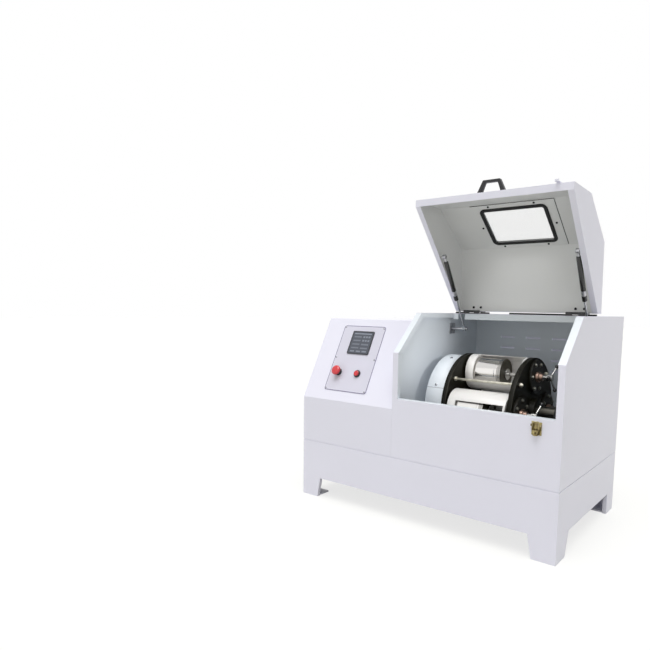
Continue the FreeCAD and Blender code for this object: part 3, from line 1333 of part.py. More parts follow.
make_plinth()
make_bed()
make_chamber()
make_control_housing()
make_rear_panel()
make_control_panel()
make_lid()
make_window()
make_handle()
make_hinges()
make_latch()
make_struts()
make_carrier()
for station, station_angle in enumerate(station_angles):
    make_station(station, station_angle)
make_gears()
make_guard()
make_pedestals()
make_drive()
make_cabinet_screws()
doc.recompute()

# Every object has to be sound before anything is written
for item in doc.Objects:
    if "Invalid" in item.State or "Error" in item.State:
        raise RuntimeError(f"{item.Label} failed: {item.State}")
os.makedirs("parts", exist_ok=True)
for item in nodes:
    shape = item.Shape
    if shape.isNull() or not shape.isValid() or not shape.Solids:
        raise RuntimeError(f"{item.Label} has no sound solid")
for item in nodes:
    item.Shape.exportStep(f"parts/{item.Label}.step")
    print(item.Label, len(item.Shape.Solids), round(item.Shape.Volume / 1000, 1))
print(len(nodes), "nodes")
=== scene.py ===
"""Looks of a floor-standing planetary ball mill, built round its packed CAD model."""
import math

import bmesh
import bpy
from mathutils import Matrix, Vector


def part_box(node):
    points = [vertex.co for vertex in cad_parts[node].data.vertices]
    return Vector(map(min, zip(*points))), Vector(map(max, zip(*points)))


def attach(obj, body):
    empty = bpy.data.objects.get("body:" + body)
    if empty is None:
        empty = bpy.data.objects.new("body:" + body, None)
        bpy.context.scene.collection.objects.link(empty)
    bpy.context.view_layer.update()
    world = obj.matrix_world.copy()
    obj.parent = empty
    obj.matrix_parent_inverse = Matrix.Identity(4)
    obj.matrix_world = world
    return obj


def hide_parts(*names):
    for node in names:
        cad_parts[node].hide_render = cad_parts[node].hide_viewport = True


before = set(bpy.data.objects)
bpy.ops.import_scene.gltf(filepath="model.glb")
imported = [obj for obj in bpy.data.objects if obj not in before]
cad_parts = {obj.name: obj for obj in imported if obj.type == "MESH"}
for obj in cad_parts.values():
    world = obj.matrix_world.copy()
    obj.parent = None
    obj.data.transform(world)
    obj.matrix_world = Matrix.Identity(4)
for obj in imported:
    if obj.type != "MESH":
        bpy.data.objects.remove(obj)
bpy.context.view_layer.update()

bl_info = {
    "name": "Planetary Ball Mill",
    "version": (1, 0, 0),
    "blender": (4, 5, 0),
    "location": "View3D > Sidebar > Ball Mill",
    "description": "Builds the finishes and fine pieces of a planetary ball mill",
    "category": "Object",
}

MM = 0.001
STATIONS = (1, 2, 3, 4)

# Places that the CAD model gives
SLOPE_FOOT = Vector((0, -330, 415)) * MM
SLOPE_TURN = math.atan2(323, 165)
FASCIA = {"x0": -443, "x1": -229, "low": 41, "high": 331, "face": 1.5, "corner": 10}
SCREEN = {"x0": -385.5, "x1": -276.5, "low": 204, "high": 306, "proud": 4, "body": 34,
          "rim": 4.5, "margin": 7}
# The display's bars and tiles: left, right, foot and top as shares of the screen, brightness
DISPLAY = [(0.10, 0.90, 0.86, 0.91, 1.0)]
DISPLAY += [(0.13, 0.47, low, low + 0.055, 0.55) for low in (0.72, 0.56, 0.40, 0.24)]
DISPLAY += [(0.55, 0.88, low, low + 0.06, 0.55) for low in (0.39, 0.23)]
DISPLAY += [(left, left + 0.09, low, low + 0.075, 0.8)
            for left in (0.55, 0.67, 0.79) for low in (0.71, 0.55)]
DISPLAY += [(left, left + 0.20, 0.09, 0.15, 0.8) for left in (0.12, 0.40, 0.68)]
PRINT = {"inset": 0.5, "low": -0.1, "high": 0.18}
ESTOP = {"x": -395, "along": 121, "low": 17.8}
START = {"x": -299, "along": 121, "low": 6.3}
HINGE = Vector((0, 70, 779)) * MM
LID_FRONT = ((-328, 459), (-323, 635))
LID_RIM = ((70, 459), (-323, 459))
LID_MOUTH = ((70, 787.5), (-304, 459))
LID_SLOPE = ((-323, 635), (-185, 819))
LID_TOP = ((-185, 819), (70, 832))
LID_MIDDLE = 225
LID_SPAN = (-60, 510)
LID_SHEET = 2
MOUTH = {"left": -67, "right": 517, "front": -330, "slope_foot": 625, "slope_depth": 150,
         "deck": 770, "rear": 70}
ROOM = {"left": -88, "right": 538, "half_depth": 328, "top": 768}
FRAME_PLATE = {"x0": 66, "x1": 384, "low": 3, "high": 227}
SEAL = {"spans": ((-58, -22), (54, 92), (178, 396), (472, 508)), "front": 72, "rear": 79,
        "low": 770.2, "high": 776.4, "corner": 2.4}
# A dark strip that paints the shadow line along the window frame plate's upper and right edges
FRAME_SHADOW = {"width": 1.5, "low": -3.4, "high": -2.05}
STRUT_FOOT = Vector((0, 98, 706)) * MM
STRUT_HEAD = Vector((0, -84, 987)) * MM
STRUT_PLACES = (-29, 479)
# Along a strut: how far the tube starts and ends below its head, its bore and band, the rod
STRUT = {"tube_end": 195, "tube_top": 20, "bore": 168, "band_low": 22, "band_high": 42,
         "rod": 208}
LATCH = {"face": -342.5, "axis": -339, "back": -334.2, "lip": -346.4, "foot": 402.0,
         "shoulder": 419.0, "pin": 434.0, "half_top": 12.4, "half_low": 7.6, "metal": 1.5,
         "stub": 4.2, "stub_start": 11.8, "slot": (2.6, 3.5, 11.5, 2.4)}
ROTOR_HEIGHT = 413
FIRST_STATION = 87
TIE = {"orbit": 172, "turn": 52.5, "start": 41, "thread": 302.0, "thread_end": 329, "end": 330,
       "pitch": 1.5, "radius": 5, "nuts": (59, 292, 318), "nut_radius": 9, "nut_height": 8}
FLANGE = {"face": 328, "bolt_circle": 50, "bolts": 6, "washer": 1.2, "head_top": 5.6}
THREAD = {"start": 216.0, "end": 362, "pitch": 3.0, "radius": 8, "root": 7.1}
KNOB = {"centre": 52, "radius": 7}
JAR_LID_FACE, JOURNAL_FOOT, HOLDER_FOOT = 203.4, 293.5, 65.5
GUARD_MIDDLE, GUARD_RADIUS = 2, 191
GUARD_SEAM = {"turn": 156.5, "half_length": 37, "half_width": 0.6}
SPOKE_START, SPOKE_FOOT, SPOKE_LEAN = -37, 376, 14
BACK = 330

# Screws: their radius and height, and where they are
SMALL_SCREW, HINGE_SCREW, GUARD_SCREW = (4, 2.5), (5, 3), (5.5, 3)
FASCIA_INSET = 8
GUARD_ANGLES = (27, 72, 108, 153)
BACK_COLUMNS, BACK_ROWS = (-520, -270, -72, 270, 520), (253, 718)
WINDOW_SPOTS = ((-87, 11), (-87, 219), (87, 11), (87, 219), (-143, 115), (143, 115))
HINGE_SPOTS, HINGE_SPOT_HALF, HINGE_SPOT_INSET = (-209, 209), 16, 17

# Outlines of turned pieces: (height, radius) points along the axis, in millimetres
STOP_CAP = ((-20, 0), (-20, 5.9), (0, 5.9), (0, 13), (0.6, 17.8), (2.4, 19.6), (5.2, 20),
            (8.4, 19.5), (10.6, 17.8), (12.2, 14.8), (12.6, 13.6), (12.3, 12.8), (13.1, 9.0),
            (13.6, 5.0), (13.9, 0))
START_CAP = ((-20, 0), (-20, 5.9), (0, 5.9), (0, 10.9), (4.6, 11), (6.1, 10.2), (6.6, 8.8),
             (6.3, 7.6), (6.5, 4.0), (6.6, 0))
STOP_COLLAR = ((-32, 6.1), (-32, 11), (1.5, 11), (1.5, 15), (3.9, 15), (4.7, 14.2), (4.7, 12.8),
               (12.7, 12.2), (13.5, 11.4), (13.5, 6.1))
START_RING = ((-32, 6.1), (-32, 11), (1.5, 11), (1.5, 15), (6.1, 15), (8.1, 13.6), (8.5, 12.6),
              (7.9, 11.4), (3.0, 11.4), (3.0, 6.1))
EYELET = ((-7, 4.1), (-7, 8.0), (-6, 9), (-2.5, 9), (-1.5, 8.2), (1.5, 8.2), (2.5, 9), (6, 9),
          (7, 8.0), (7, 4.1))
ROD_NUT = ((6, 0), (6, 6.4), (8, 7), (17, 7), (19, 6.0), (19, 0))
HUB = ((386, 0), (386, 11.5), (384.5, 13), (381, 13), (380, 12.2), (372, 12.2), (371, 13),
       (367.2, 13), (366, 12), (366, 8.4), (381.3, 8.4), (381.3, 0))
SPOKE = ((10, 0), (10, 3), (43, 3), (45.2, 2.6), (45.2, 0))

# Light and camera
MAIN_LAMP, FRONT_LAMP, FRONT_SHARE = (0.10, -0.27, 1.0), (0.05, -1.0, 0.28), 0.13
WALL_LAMP = {"start": (490, -225, 745), "target": (-66, -130, 655), "power": 5, "cone": 52,
             "radius": 0.06}
CAMERA = {"yaw": 37.07, "pitch": 5.91, "roll": -1.05, "place": (1076.72, -1991.31, 783.59),
          "focal": 556.68, "middle": (373.52, 366.06), "picture": 650, "sensor": 36}
FLOOR_SIZE, FLOOR_GLOW, GLOW_SHARE = 30, 1.2, 0.62


def shade(red, green, blue):
    """A colour as a screen shows it, made ready for a shader."""
    values = []
    for level in (red, green, blue):
        share = level / 255
        values.append(share / 12.92 if share <= 0.04045 else ((share + 0.055) / 1.055) ** 2.4)
    return tuple(values)


def colour_property(name, description, default):
    return bpy.props.FloatVectorProperty(
        name=name, description=description, default=default, subtype="COLOR",
        min=0, max=1, size=3)


def level_property(name, description, default):
    return bpy.props.FloatProperty(name=name, description=description, default=default, min=0)


def length_property(name, description, default):
    return bpy.props.FloatProperty(
        name=name, description=description, default=default, unit="LENGTH", min=0,
        precision=4)


# Materials

class Wire:
    """A value on its way through a material, with arithmetic on it."""

    def __init__(self, finish, socket):
        self.finish = finish
        self.socket = socket

    def __add__(self, other):
        return self.finish.maths("ADD", self, other)

    __radd__ = __add__

    def __sub__(self, other):
        return self.finish.maths("SUBTRACT", self, other)

    def __rsub__(self, other):
        return self.finish.maths("SUBTRACT", other, self)

    def __mul__(self, other):
        return self.finish.maths("MULTIPLY", self, other)

    __rmul__ = __mul__

    def __gt__(self, other):
        return self.finish.maths("GREATER_THAN", self, other)

    def __lt__(self, other):
        return self.finish.maths("LESS_THAN", self, other)

    def __abs__(self):
        return self.finish.maths("ABSOLUTE", self)

    def __pow__(self, other):
        return self.finish.maths("POWER", self, other)


class Finish:
    """The nodes of a material on Object coordinates, or of the world."""

    def __init__(self, name, owner=None):
        self.material = owner or bpy.data.materials.new(name)
        self.material.use_nodes = True
        self.tree = self.material.node_tree
        self.tree.nodes.clear()

    def node(self, kind, settings=None, inputs=None):
        """A node of a type, its settings first and then the values or wires of its sockets."""
        made = self.tree.nodes.new(kind)
        for key, value in (settings or {}).items():
            setattr(made, key, value)
        for key, value in (inputs or {}).items():
            if isinstance(value, Wire):
                self.tree.links.new(value.socket, made.inputs[key])
            else:
                made.inputs[key].default_value = value
        return made

    def wire(self, made, output=0):
        return Wire(self, made.outputs[output])

    def maths(self, operation, *values):
        return self.wire(self.node("ShaderNodeMath", {"operation": operation},
                                   dict(enumerate(values))))

    def place(self, turn=(0, 0, 0), scale=(1, 1, 1), origin=(0, 0, 0)):
        """Object coordinates, measured from an origin and in turned axes."""
        here = self.wire(self.node("ShaderNodeTexCoord"), "Object")
        moved = self.node("ShaderNodeVectorMath", {"operation": "SUBTRACT"},
                          {0: here, 1: origin})
        turned = self.node("ShaderNodeVectorRotate", {"rotation_type": "EULER_XYZ"},
                           {"Vector": self.wire(moved), "Rotation": turn})
        return self.wire(self.node("ShaderNodeVectorMath", {"operation": "MULTIPLY"},
                                   {0: self.wire(turned), 1: scale}))

    def split(self, place):
        made = self.node("ShaderNodeSeparateXYZ", None, {0: place})
        return [self.wire(made, axis) for axis in range(3)]

    def join(self, *parts):
        return self.wire(self.node("ShaderNodeCombineXYZ", None, dict(enumerate(parts))))

    def noise(self, place, scale, detail=3.0, roughness=0.5):
        made = self.node("ShaderNodeTexNoise", {"noise_dimensions": "3D"},
                         {"Vector": place, "Scale": scale, "Detail": detail,
                          "Roughness": roughness})
        return self.wire(made, 0)

    def blend(self, share, first, second):
        """One colour where the share is 0 and the other where it is 1."""
        made = self.node("ShaderNodeMix", {"data_type": "RGBA"}, {0: share, 6: first, 7: second})
        return self.wire(made, 2)

    def tones(self, share, colour, depth):
        """A colour that darkens with the share, down to a depth of itself."""
        return self.blend(share, rgba(colour), rgba(colour, depth))

    def soft_step(self, value, low, high):
        made = self.node("ShaderNodeMapRange", {"interpolation_type": "SMOOTHSTEP"},
                         {"Value": value, "From Min": low, "From Max": high})
        return self.wire(made, 0)

    def bump(self, height, depth, strength=1.0):
        made = self.node("ShaderNodeBump", None,
                         {"Strength": strength, "Distance": depth, "Height": height})
        return self.wire(made, "Normal")

    def surface(self, **inputs):
        """The surface itself; its keys are the shader's socket names with low lines for gaps."""
        sockets = {key.replace("_", " "): value for key, value in inputs.items()}
        shader = self.node("ShaderNodeBsdfPrincipled", None, sockets)
        self.node("ShaderNodeOutputMaterial", None, {"Surface": self.wire(shader)})
        return self.material


def rgba(colour, share=1.0):
    """A solid colour, as it is or a share as bright."""
    return tuple(level * share for level in tuple(colour)[:3]) + (1.0,)


def powder_coat(name, colour, gloss=0.34, grain=900.0, coat=0.12, specular=0.5, inner=None,
                painted_shade_mask=None):
    """Baked powder paint: faint cloudiness, uneven gloss, an orange-peel skin and, where a mask is
    given, painted shade.
    """
    finish = Finish(name)
    here = finish.place()
    clouds = finish.noise(here, 2.6, 2.0)
    speck = finish.noise(here, 260.0, 2.0)
    tint = finish.tones(clouds, colour, 0.965)
    # Painted shade: the masked inner faces take a second tint that stands in for the shaded light
    # there, though the paint is one.
    if painted_shade_mask:
        shaded = finish.tones(clouds, inner, 0.965)
        tint = finish.blend(painted_shade_mask(*finish.split(here)), tint, shaded)
    tint = finish.blend(finish.soft_step(speck, 0.70, 0.78) * 0.25, tint, rgba(colour, 0.86))
    peel = finish.noise(here, grain, 2.0)
    waves = finish.noise(here, 120.0, 1.0)
    return finish.surface(
        Base_Color=tint,
        Roughness=gloss + 0.10 * finish.noise(here, 30.0, 2.0),
        Normal=finish.bump(peel + 0.6 * waves, 0.00012, 0.35),
        Specular_IOR_Level=specular, Coat_Weight=coat, Coat_Roughness=0.2)


def moulded(name, colour, gloss=0.42, grain=1400.0, strength=0.3, coat=0.0):
    """Moulded plastic or rubber with a fine grain and handled patches."""
    finish = Finish(name)
    here = finish.place()
    patches = finish.noise(here, 18.0, 3.0)
    tint = finish.tones(patches, colour, 0.8)
    return finish.surface(
        Base_Color=tint,
        Roughness=gloss + 0.14 * (patches - 0.5),
        Normal=finish.bump(finish.noise(here, grain, 2.0), 0.0001, strength),
        Coat_Weight=coat, Coat_Roughness=0.15)


def brushed(name, colour, gloss, stretch, marks=0.25):
    """Bare metal with fine machining marks along one axis and slight staining."""
    finish = Finish(name)
    here = finish.place()
    lines = finish.noise(finish.place(scale=stretch), 1.0, 3.0, 0.6)
    stains = finish.noise(here, 22.0, 4.0)
    tint = finish.tones(stains, colour, 0.82)
    return finish.surface(
        Base_Color=tint, Metallic=1.0,
        Roughness=gloss + 0.16 * (lines - 0.5) + 0.10 * (stains - 0.5),
        Normal=finish.bump(lines, 0.00006, marks))


def plated(name, colour, second, gloss=0.32):
    """Zinc plating: metal with a mottled tint and small bright and dull patches."""
    finish = Finish(name)
    here = finish.place()
    mottle = finish.noise(here, 60.0, 4.0, 0.6)
    fine = finish.noise(here, 420.0, 2.0)
    tint = finish.blend(finish.soft_step(mottle, 0.35, 0.65), rgba(colour), rgba(second))
    return finish.surface(
        Base_Color=tint, Metallic=1.0,
        Roughness=gloss + 0.18 * (mottle - 0.5) + 0.08 * (fine - 0.5),
        Normal=finish.bump(fine, 0.00008, 0.3))


def cast_iron(name, colour):
    """Painted casting: a coarse skin with small pits."""
    finish = Finish(name)
    here = finish.place()
    lumps = finish.noise(here, 240.0, 5.0, 0.65)
    tint = finish.tones(finish.noise(here, 30.0, 3.0), colour, 0.7)
    return finish.surface(
        Base_Color=tint, Roughness=0.5 + 0.2 * (lumps - 0.5),
        Normal=finish.bump(lumps, 0.0006, 0.45))


def turned_disc(name, colour, wear_and_highlight_colour, radius):
    """Black carrier disc: concentric tool marks and a thin bare corner, partly edge wear and
    partly a painted highlight.
    """
    finish = Finish(name)
    here = finish.place(origin=(0, 0, ROTOR_HEIGHT * MM))
    across, fore, up = finish.split(here)
    reach = (fore * fore + up * up) ** 0.5
    rings = finish.noise(finish.join(reach, across * 0.2, 0.0), 900.0, 3.0, 0.7)
    # The rim band is lighter and metallic: partly edge wear, partly a painted highlight along the
    # corner.
    rim = finish.soft_step(reach, radius - 0.0009, radius - 0.0005)
    rim = rim * (reach < radius - 0.00005)
    oil = finish.noise(here, 14.0, 4.0)
    tint = finish.tones(oil, colour, 0.6)
    return finish.surface(
        Base_Color=finish.blend(rim, tint, rgba(wear_and_highlight_colour)),
        Metallic=rim,
        Roughness=0.46 + 0.12 * (rings - 0.5) + 0.10 * (oil - 0.5),
        Normal=finish.bump(rings, 0.00012, 0.35), Specular_IOR_Level=0.16)


def turned_steel(name, colour, gloss=0.16, marks=0.4, cloud=0.2):
    """Polished turned steel, with tool rings across the X axis."""
    finish = Finish(name)
    here = finish.place()
    across, fore, up = finish.split(here)
    rings = finish.noise(finish.join(across, fore * 0.04, up * 0.04), 700.0, 4.0, 0.7)
    haze = finish.noise(here, 18.0, 3.0)
    tint = finish.tones(haze, colour, 1 - cloud)
    return finish.surface(
        Base_Color=tint, Metallic=1.0,
        Roughness=gloss + 0.5 * cloud * (rings - 0.5) + 0.5 * cloud * (haze - 0.5),
        Normal=finish.bump(rings, 0.00008, marks))


def jar_lid_steel(name, side, face):
    """A jar's lid: polished round its side, with a painted dark reflection on its outer face."""
    finish = Finish(name)
    here = finish.place()
    across = finish.split(here)[0]
    # Painted reflection: the outer face is darker, less metallic and rougher, standing in for a
    # dark reflection.
    painted_dark_face = finish.soft_step(across, JAR_LID_FACE * MM, (JAR_LID_FACE + 0.4) * MM)
    haze = finish.noise(here, 35.0, 3.0)
    rings = finish.noise(here, 420.0, 3.0)
    bright = finish.tones(haze, side, 0.75)
    painted_reflection = finish.tones(haze, face, 0.7)
    return finish.surface(
        Base_Color=finish.blend(painted_dark_face, bright, painted_reflection), Metallic=1.0 - 0.45 * painted_dark_face,
        Roughness=0.18 + 0.16 * painted_dark_face + 0.10 * (haze - 0.5),
        Normal=finish.bump(rings, 0.00006, 0.3))


def holder_paint(name, colour, metal):
    """White holder paint, with the bare metal of its end journal and nut."""
    finish = Finish(name)
    here = finish.place()
    across = finish.split(here)[0]
    bare = finish.soft_step(across, JOURNAL_FOOT * MM, (JOURNAL_FOOT + 1) * MM)
    inner = finish.soft_step(across, HOLDER_FOOT * MM, (HOLDER_FOOT - 0.5) * MM)
    bare = finish.maths("MAXIMUM", bare, inner)
    clouds = finish.noise(here, 9.0, 3.0)
    paint = finish.tones(clouds, colour, 0.95)
    stain = finish.tones(finish.noise(here, 50.0, 4.0), metal, 0.6)
    return finish.surface(
        Base_Color=finish.blend(bare, paint, stain), Metallic=bare * 0.9,
        Roughness=0.26 + 0.10 * clouds,
        Normal=finish.bump(finish.noise(here, 700.0, 2.0), 0.0001, 0.3),
        Coat_Weight=0.2, Coat_Roughness=0.12)


def printed_plate(name, colour):
    """Printed control plate: a soft lavender film with a satin grain."""
    finish = Finish(name)
    here = finish.place()
    clouds = finish.noise(here, 11.0, 2.0)
    tint = finish.tones(clouds, colour, 0.93)
    return finish.surface(
        Base_Color=tint, Roughness=0.30 + 0.08 * clouds,
        Normal=finish.bump(finish.noise(here, 2200.0, 2.0), 0.00005, 0.25),
        Coat_Weight=0.3, Coat_Roughness=0.2)


def display_glass(name, colour):
    """Dark touch screen with a plain layout of bars and tiles, without any lettering."""
    finish = Finish(name)
    origin = slope_matrix() @ (Vector((SCREEN["x0"], SCREEN["low"], 0)) * MM)
    here = finish.place((-SLOPE_TURN, 0, 0), (1 / MM, 1 / MM, 1 / MM), tuple(origin))
    across, along = finish.split(here)[:2]
    width = SCREEN["x1"] - SCREEN["x0"]
    height = SCREEN["high"] - SCREEN["low"]
    lit = 0.0
    for x0, x1, y0, y1, level in DISPLAY:
        inside = (across > x0 * width) * (across < x1 * width)
        inside = inside * (along > y0 * height) * (along < y1 * height)
        lit = lit + inside * level
    smear = finish.noise(finish.place(scale=(40, 40, 14)), 1.0, 3.0)
    tint = finish.blend(lit * 0.42, rgba(colour), rgba(shade(176, 184, 202)))
    return finish.surface(
        Base_Color=tint, Roughness=0.12 + 0.16 * smear, Coat_Weight=0.6, Coat_Roughness=0.05)


def clear_sheet(name, colour):
    """Clear acrylic: nearly all see-through, with gloss at a low angle."""
    finish = Finish(name)
    edge = finish.wire(finish.node("ShaderNodeFresnel", None, {"IOR": 1.49}))
    wipe = finish.noise(finish.place((0, 0, 0.4), (9, 60, 60)), 1.0, 3.0)
    return finish.surface(
        Base_Color=rgba(colour), Roughness=0.03 + 0.05 * wipe,
        Alpha=0.01 + 0.3 * edge)


# Mesh helpers

def shift(x, y, z):
    """A move by a distance in millimetres."""
    return Matrix.Translation(Vector((x, y, z)) * MM)


def spin(degrees, axis="X"):
    return Matrix.Rotation(math.radians(degrees), 4, axis)


def slope_matrix():
    """A frame on the control panel's slope: X to the right, Y up the slope, Z out of it."""
    return Matrix.Translation(SLOPE_FOOT) @ Matrix.Rotation(SLOPE_TURN, 4, "X")


# A frame whose X and Y run along Y and Z, for plates that stand across X
SIDEWAYS = Matrix(((0, 0, 1, 0), (1, 0, 0, 0), (0, 1, 0, 0), (0, 0, 0, 1)))


def side_matrix(start, stop):
    """A frame whose Y runs from one (y, z) point of the shut lid to another."""
    angle = math.atan2(stop[1] - start[1], stop[0] - start[0])
    return open_lid() @ shift(0, *start) @ Matrix.Rotation(angle, 4, "X")


def open_lid():
    """The swing that takes the shut lid to where the model shows it."""
    there = Matrix.Translation(HINGE)
    return there @ spin(-90) @ there.inverted()


def along_x(x, y, z, turn=0.0):
    """A frame whose Z points along +X, for pieces turned about the rotor's direction."""
    return shift(x, y, z) @ Matrix.Rotation(turn, 4, "X") @ spin(90, "Y")


def soften(mesh, width):
    """Round the sharp edges of a shape."""
    limit = math.radians(35)
    sharp = [edge for edge in mesh.edges
             if len(edge.link_faces) == 2 and edge.calc_face_angle(0) > limit]
    if sharp:
        bmesh.ops.bevel(mesh, geom=sharp, offset=width * MM, offset_type="OFFSET",
                        affect="EDGES", segments=2, profile=0.5, material=-1,
                        clamp_overlap=True)


def turned(profile, place, segments=48):
    """A shape turned about its own Z from (height, radius) points in millimetres."""
    mesh = bmesh.new()
    points = [mesh.verts.new((radius * MM, 0, height * MM)) for height, radius in profile]
    lines = [mesh.edges.new(pair) for pair in zip(points, points[1:])]
    if profile[0][1] > 0:
        lines.append(mesh.edges.new((points[-1], points[0])))
    bmesh.ops.spin(mesh, geom=points + lines, cent=(0, 0, 0), axis=(0, 0, 1),
                   angle=math.tau, steps=segments, use_merge=True)
    bmesh.ops.remove_doubles(mesh, verts=mesh.verts, dist=1e-6)
    bmesh.ops.recalc_face_normals(mesh, faces=mesh.faces)
    mesh.transform(place)
    return mesh


def corners(mesh, points, height):
    """New corners from (x, y) points, all at one height, in millimetres."""
    return [mesh.verts.new((x * MM, y * MM, height * MM)) for x, y in points]


def loop(mesh, points):
    """The closed row of edges through some corners."""
    return [mesh.edges.new(pair) for pair in zip(points, points[1:] + points[:1])]


def raise_plate(mesh, faces, height, place, round_width=0.0):
    """Make a flat shape as thick as a height, round it and put it in its place."""
    raised = bmesh.ops.extrude_face_region(mesh, geom=faces)
    top = [item for item in raised["geom"] if isinstance(item, bmesh.types.BMVert)]
    bmesh.ops.translate(mesh, verts=top, vec=(0, 0, height * MM))
    bmesh.ops.recalc_face_normals(mesh, faces=mesh.faces)
    if round_width:
        soften(mesh, round_width)
    mesh.transform(place)
    return mesh


def slab(points, low, high, place, round_width=0.0):
    """A flat plate from its outline of (x, y) points, between two heights."""
    mesh = bmesh.new()
    face = mesh.faces.new(corners(mesh, points, low))
    return raise_plate(mesh, [face], high - low, place, round_width)


def rounded_outline(x0, y0, x1, y1, radius, steps=8):
    """The corner points of a rectangle with round corners."""
    points = []
    centres = ((x1 - radius, y1 - radius, 0), (x0 + radius, y1 - radius, 90),
               (x0 + radius, y0 + radius, 180), (x1 - radius, y0 + radius, 270))
    for x, y, start in centres:
        for step in range(steps + 1):
            angle = math.radians(start + 90 * step / steps)
            points.append((x + radius * math.cos(angle), y + radius * math.sin(angle)))
    return points


def ring_slab(outline, width, low, high, place, round_width=0.0):
    """A flat ring of an even width inside its outline."""
    mesh = bmesh.new()
    face = mesh.faces.new(corners(mesh, outline, low))
    face.normal_update()
    bmesh.ops.inset_individual(mesh, faces=[face], thickness=width * MM, use_even_offset=True)
    bmesh.ops.delete(mesh, geom=[face], context="FACES_ONLY")
    return raise_plate(mesh, list(mesh.faces), high - low, place, round_width)


def hexagon(radius, low, high, place, round_width=0.6):
    """A hexagon nut or bolt head, its flats chamfered."""
    mesh = bmesh.new()
    bmesh.ops.create_cone(mesh, cap_ends=True, segments=6, radius1=radius * MM,
                          radius2=radius * MM, depth=(high - low) * MM)
    bmesh.ops.translate(mesh, verts=mesh.verts, vec=(0, 0, (high + low) / 2 * MM))
    soften(mesh, round_width)
    mesh.transform(place)
    return mesh


def cross_screw(radius, height, place):
    """A pan-head screw with a cross recess; its seat is at the frame's origin."""
    mesh = bmesh.new()
    arm, slot, depth = radius * 0.55, radius * 0.16, height * 0.55
    cross = [(arm, slot), (slot, slot), (slot, arm), (-slot, arm), (-slot, slot), (-arm, slot),
             (-arm, -slot), (-slot, -slot), (-slot, -arm), (slot, -arm), (slot, -slot),
             (arm, -slot)]
    cross_lines = loop(mesh, corners(mesh, cross, height))
    angles = [math.tau * step / 24 for step in range(24)]
    rims = []
    for reach, rise in ((0.72, 1.0), (0.93, 0.78), (1.0, 0.4), (1.0, 0.0)):
        points = [(radius * reach * math.cos(angle), radius * reach * math.sin(angle))
                  for angle in angles]
        rims.append(loop(mesh, corners(mesh, points, height * rise)))
    bmesh.ops.triangle_fill(mesh, edges=cross_lines + rims[0], use_beauty=True)
    hole = [face for face in mesh.faces if in_cross(face.calc_center_median(), arm, slot)]
    bmesh.ops.delete(mesh, geom=hole, context="FACES_ONLY")
    for first, second in zip(rims, rims[1:]):
        bmesh.ops.bridge_loops(mesh, edges=first + second)
    bmesh.ops.contextual_create(mesh, geom=rims[-1])
    walls = bmesh.ops.extrude_edge_only(mesh, edges=cross_lines)
    lowered = [item for item in walls["geom"] if isinstance(item, bmesh.types.BMVert)]
    floor = [item for item in walls["geom"] if isinstance(item, bmesh.types.BMEdge)
             and all(vert in lowered for vert in item.verts)]
    bmesh.ops.translate(mesh, verts=lowered, vec=(0, 0, -depth * MM))
    bmesh.ops.contextual_create(mesh, geom=floor)
    bmesh.ops.recalc_face_normals(mesh, faces=mesh.faces)
    mesh.transform(place)
    return mesh


def in_cross(point, arm, slot):
    x, y = abs(point.x) / MM, abs(point.y) / MM
    return (x < slot and y < arm) or (y < slot and x < arm)


def add_piece(name, shapes, finish, body, replaced=()):
    """One object from several shapes, riding on a body."""
    whole = bmesh.new()
    scrap = bpy.data.meshes.new("scrap")
    for shape in shapes:
        shape.to_mesh(scrap)
        shape.free()
        whole.from_mesh(scrap)
    bpy.data.meshes.remove(scrap)
    mesh = bpy.data.meshes.new(name)
    whole.to_mesh(mesh)
    whole.free()
    mesh.polygons.foreach_set("use_smooth", [True] * len(mesh.polygons))
    mesh.set_sharp_from_angle(angle=math.radians(32))
    mesh.materials.append(finish)
    item = bpy.data.objects.new(name, mesh)
    bpy.context.scene.collection.objects.link(item)
    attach(item, body)
    if replaced:
        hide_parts(*replaced)
    return item


def dress(finish, *names, fold=0.0, angle=30):
    """Give CAD nodes a material, and round their edges where a fold is given."""
    for name in names:
        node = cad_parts[name]
        for place in node.material_slots:
            place.material = finish
        if not node.material_slots:
            node.data.materials.append(finish)
        if fold:
            round_edges(node, fold, angle)


def round_edges(node, width, angle):
    """Round the folded or machined edges of a CAD node with modifiers."""
    weld = node.modifiers.new("Merged corners", "WELD")
    weld.merge_threshold = 0.00001
    whole = node.modifiers.new("Whole faces", "DECIMATE")
    whole.decimate_type = "DISSOLVE"
    whole.angle_limit = math.radians(0.5)
    bevel = node.modifiers.new("Round edges", "BEVEL")
    bevel.width = width * MM
    bevel.segments = 2
    bevel.limit_method = "ANGLE"
    bevel.angle_limit = math.radians(angle)
    bevel.use_clamp_overlap = True
    bevel.harden_normals = True


def guard_place(angle):
    """A place on the guard's round top, at an angle up from the rear."""
    return shift(GUARD_MIDDLE, 0, ROTOR_HEIGHT) @ spin(angle - 90) @ shift(0, 0, GUARD_RADIUS)


def station_place(index):
    """The (y, z) place of a station's axis, in millimetres."""
    low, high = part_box(f"jar_{index}")
    middle = (low + high) / 2 / MM
    return middle.y, middle.z


# Settings

class CabinetSettings(bpy.types.PropertyGroup):
    """Paint and folds of the cabinet."""
    paint: colour_property("Paint", "Colour of the cabinet's powder paint",
                           (0.785, 0.78, 0.90))
    # Chamber: painted shade, a greener tint that the chamber's inner faces take in place of their
    # shaded light.
    chamber: colour_property("Chamber", "Colour of the paint inside the chamber",
                             (0.775, 0.82, 0.88))
    # Lid inside: painted shade, a more neutral tint that the lid's inner faces take in place of
    # their shaded light.
    lid_painted_shade: colour_property("Lid inside", "Colour of the paint inside the lid",
                            (0.785, 0.79, 0.80))
    fold: length_property("Fold", "Radius of the folded sheet edges", 0.0014)


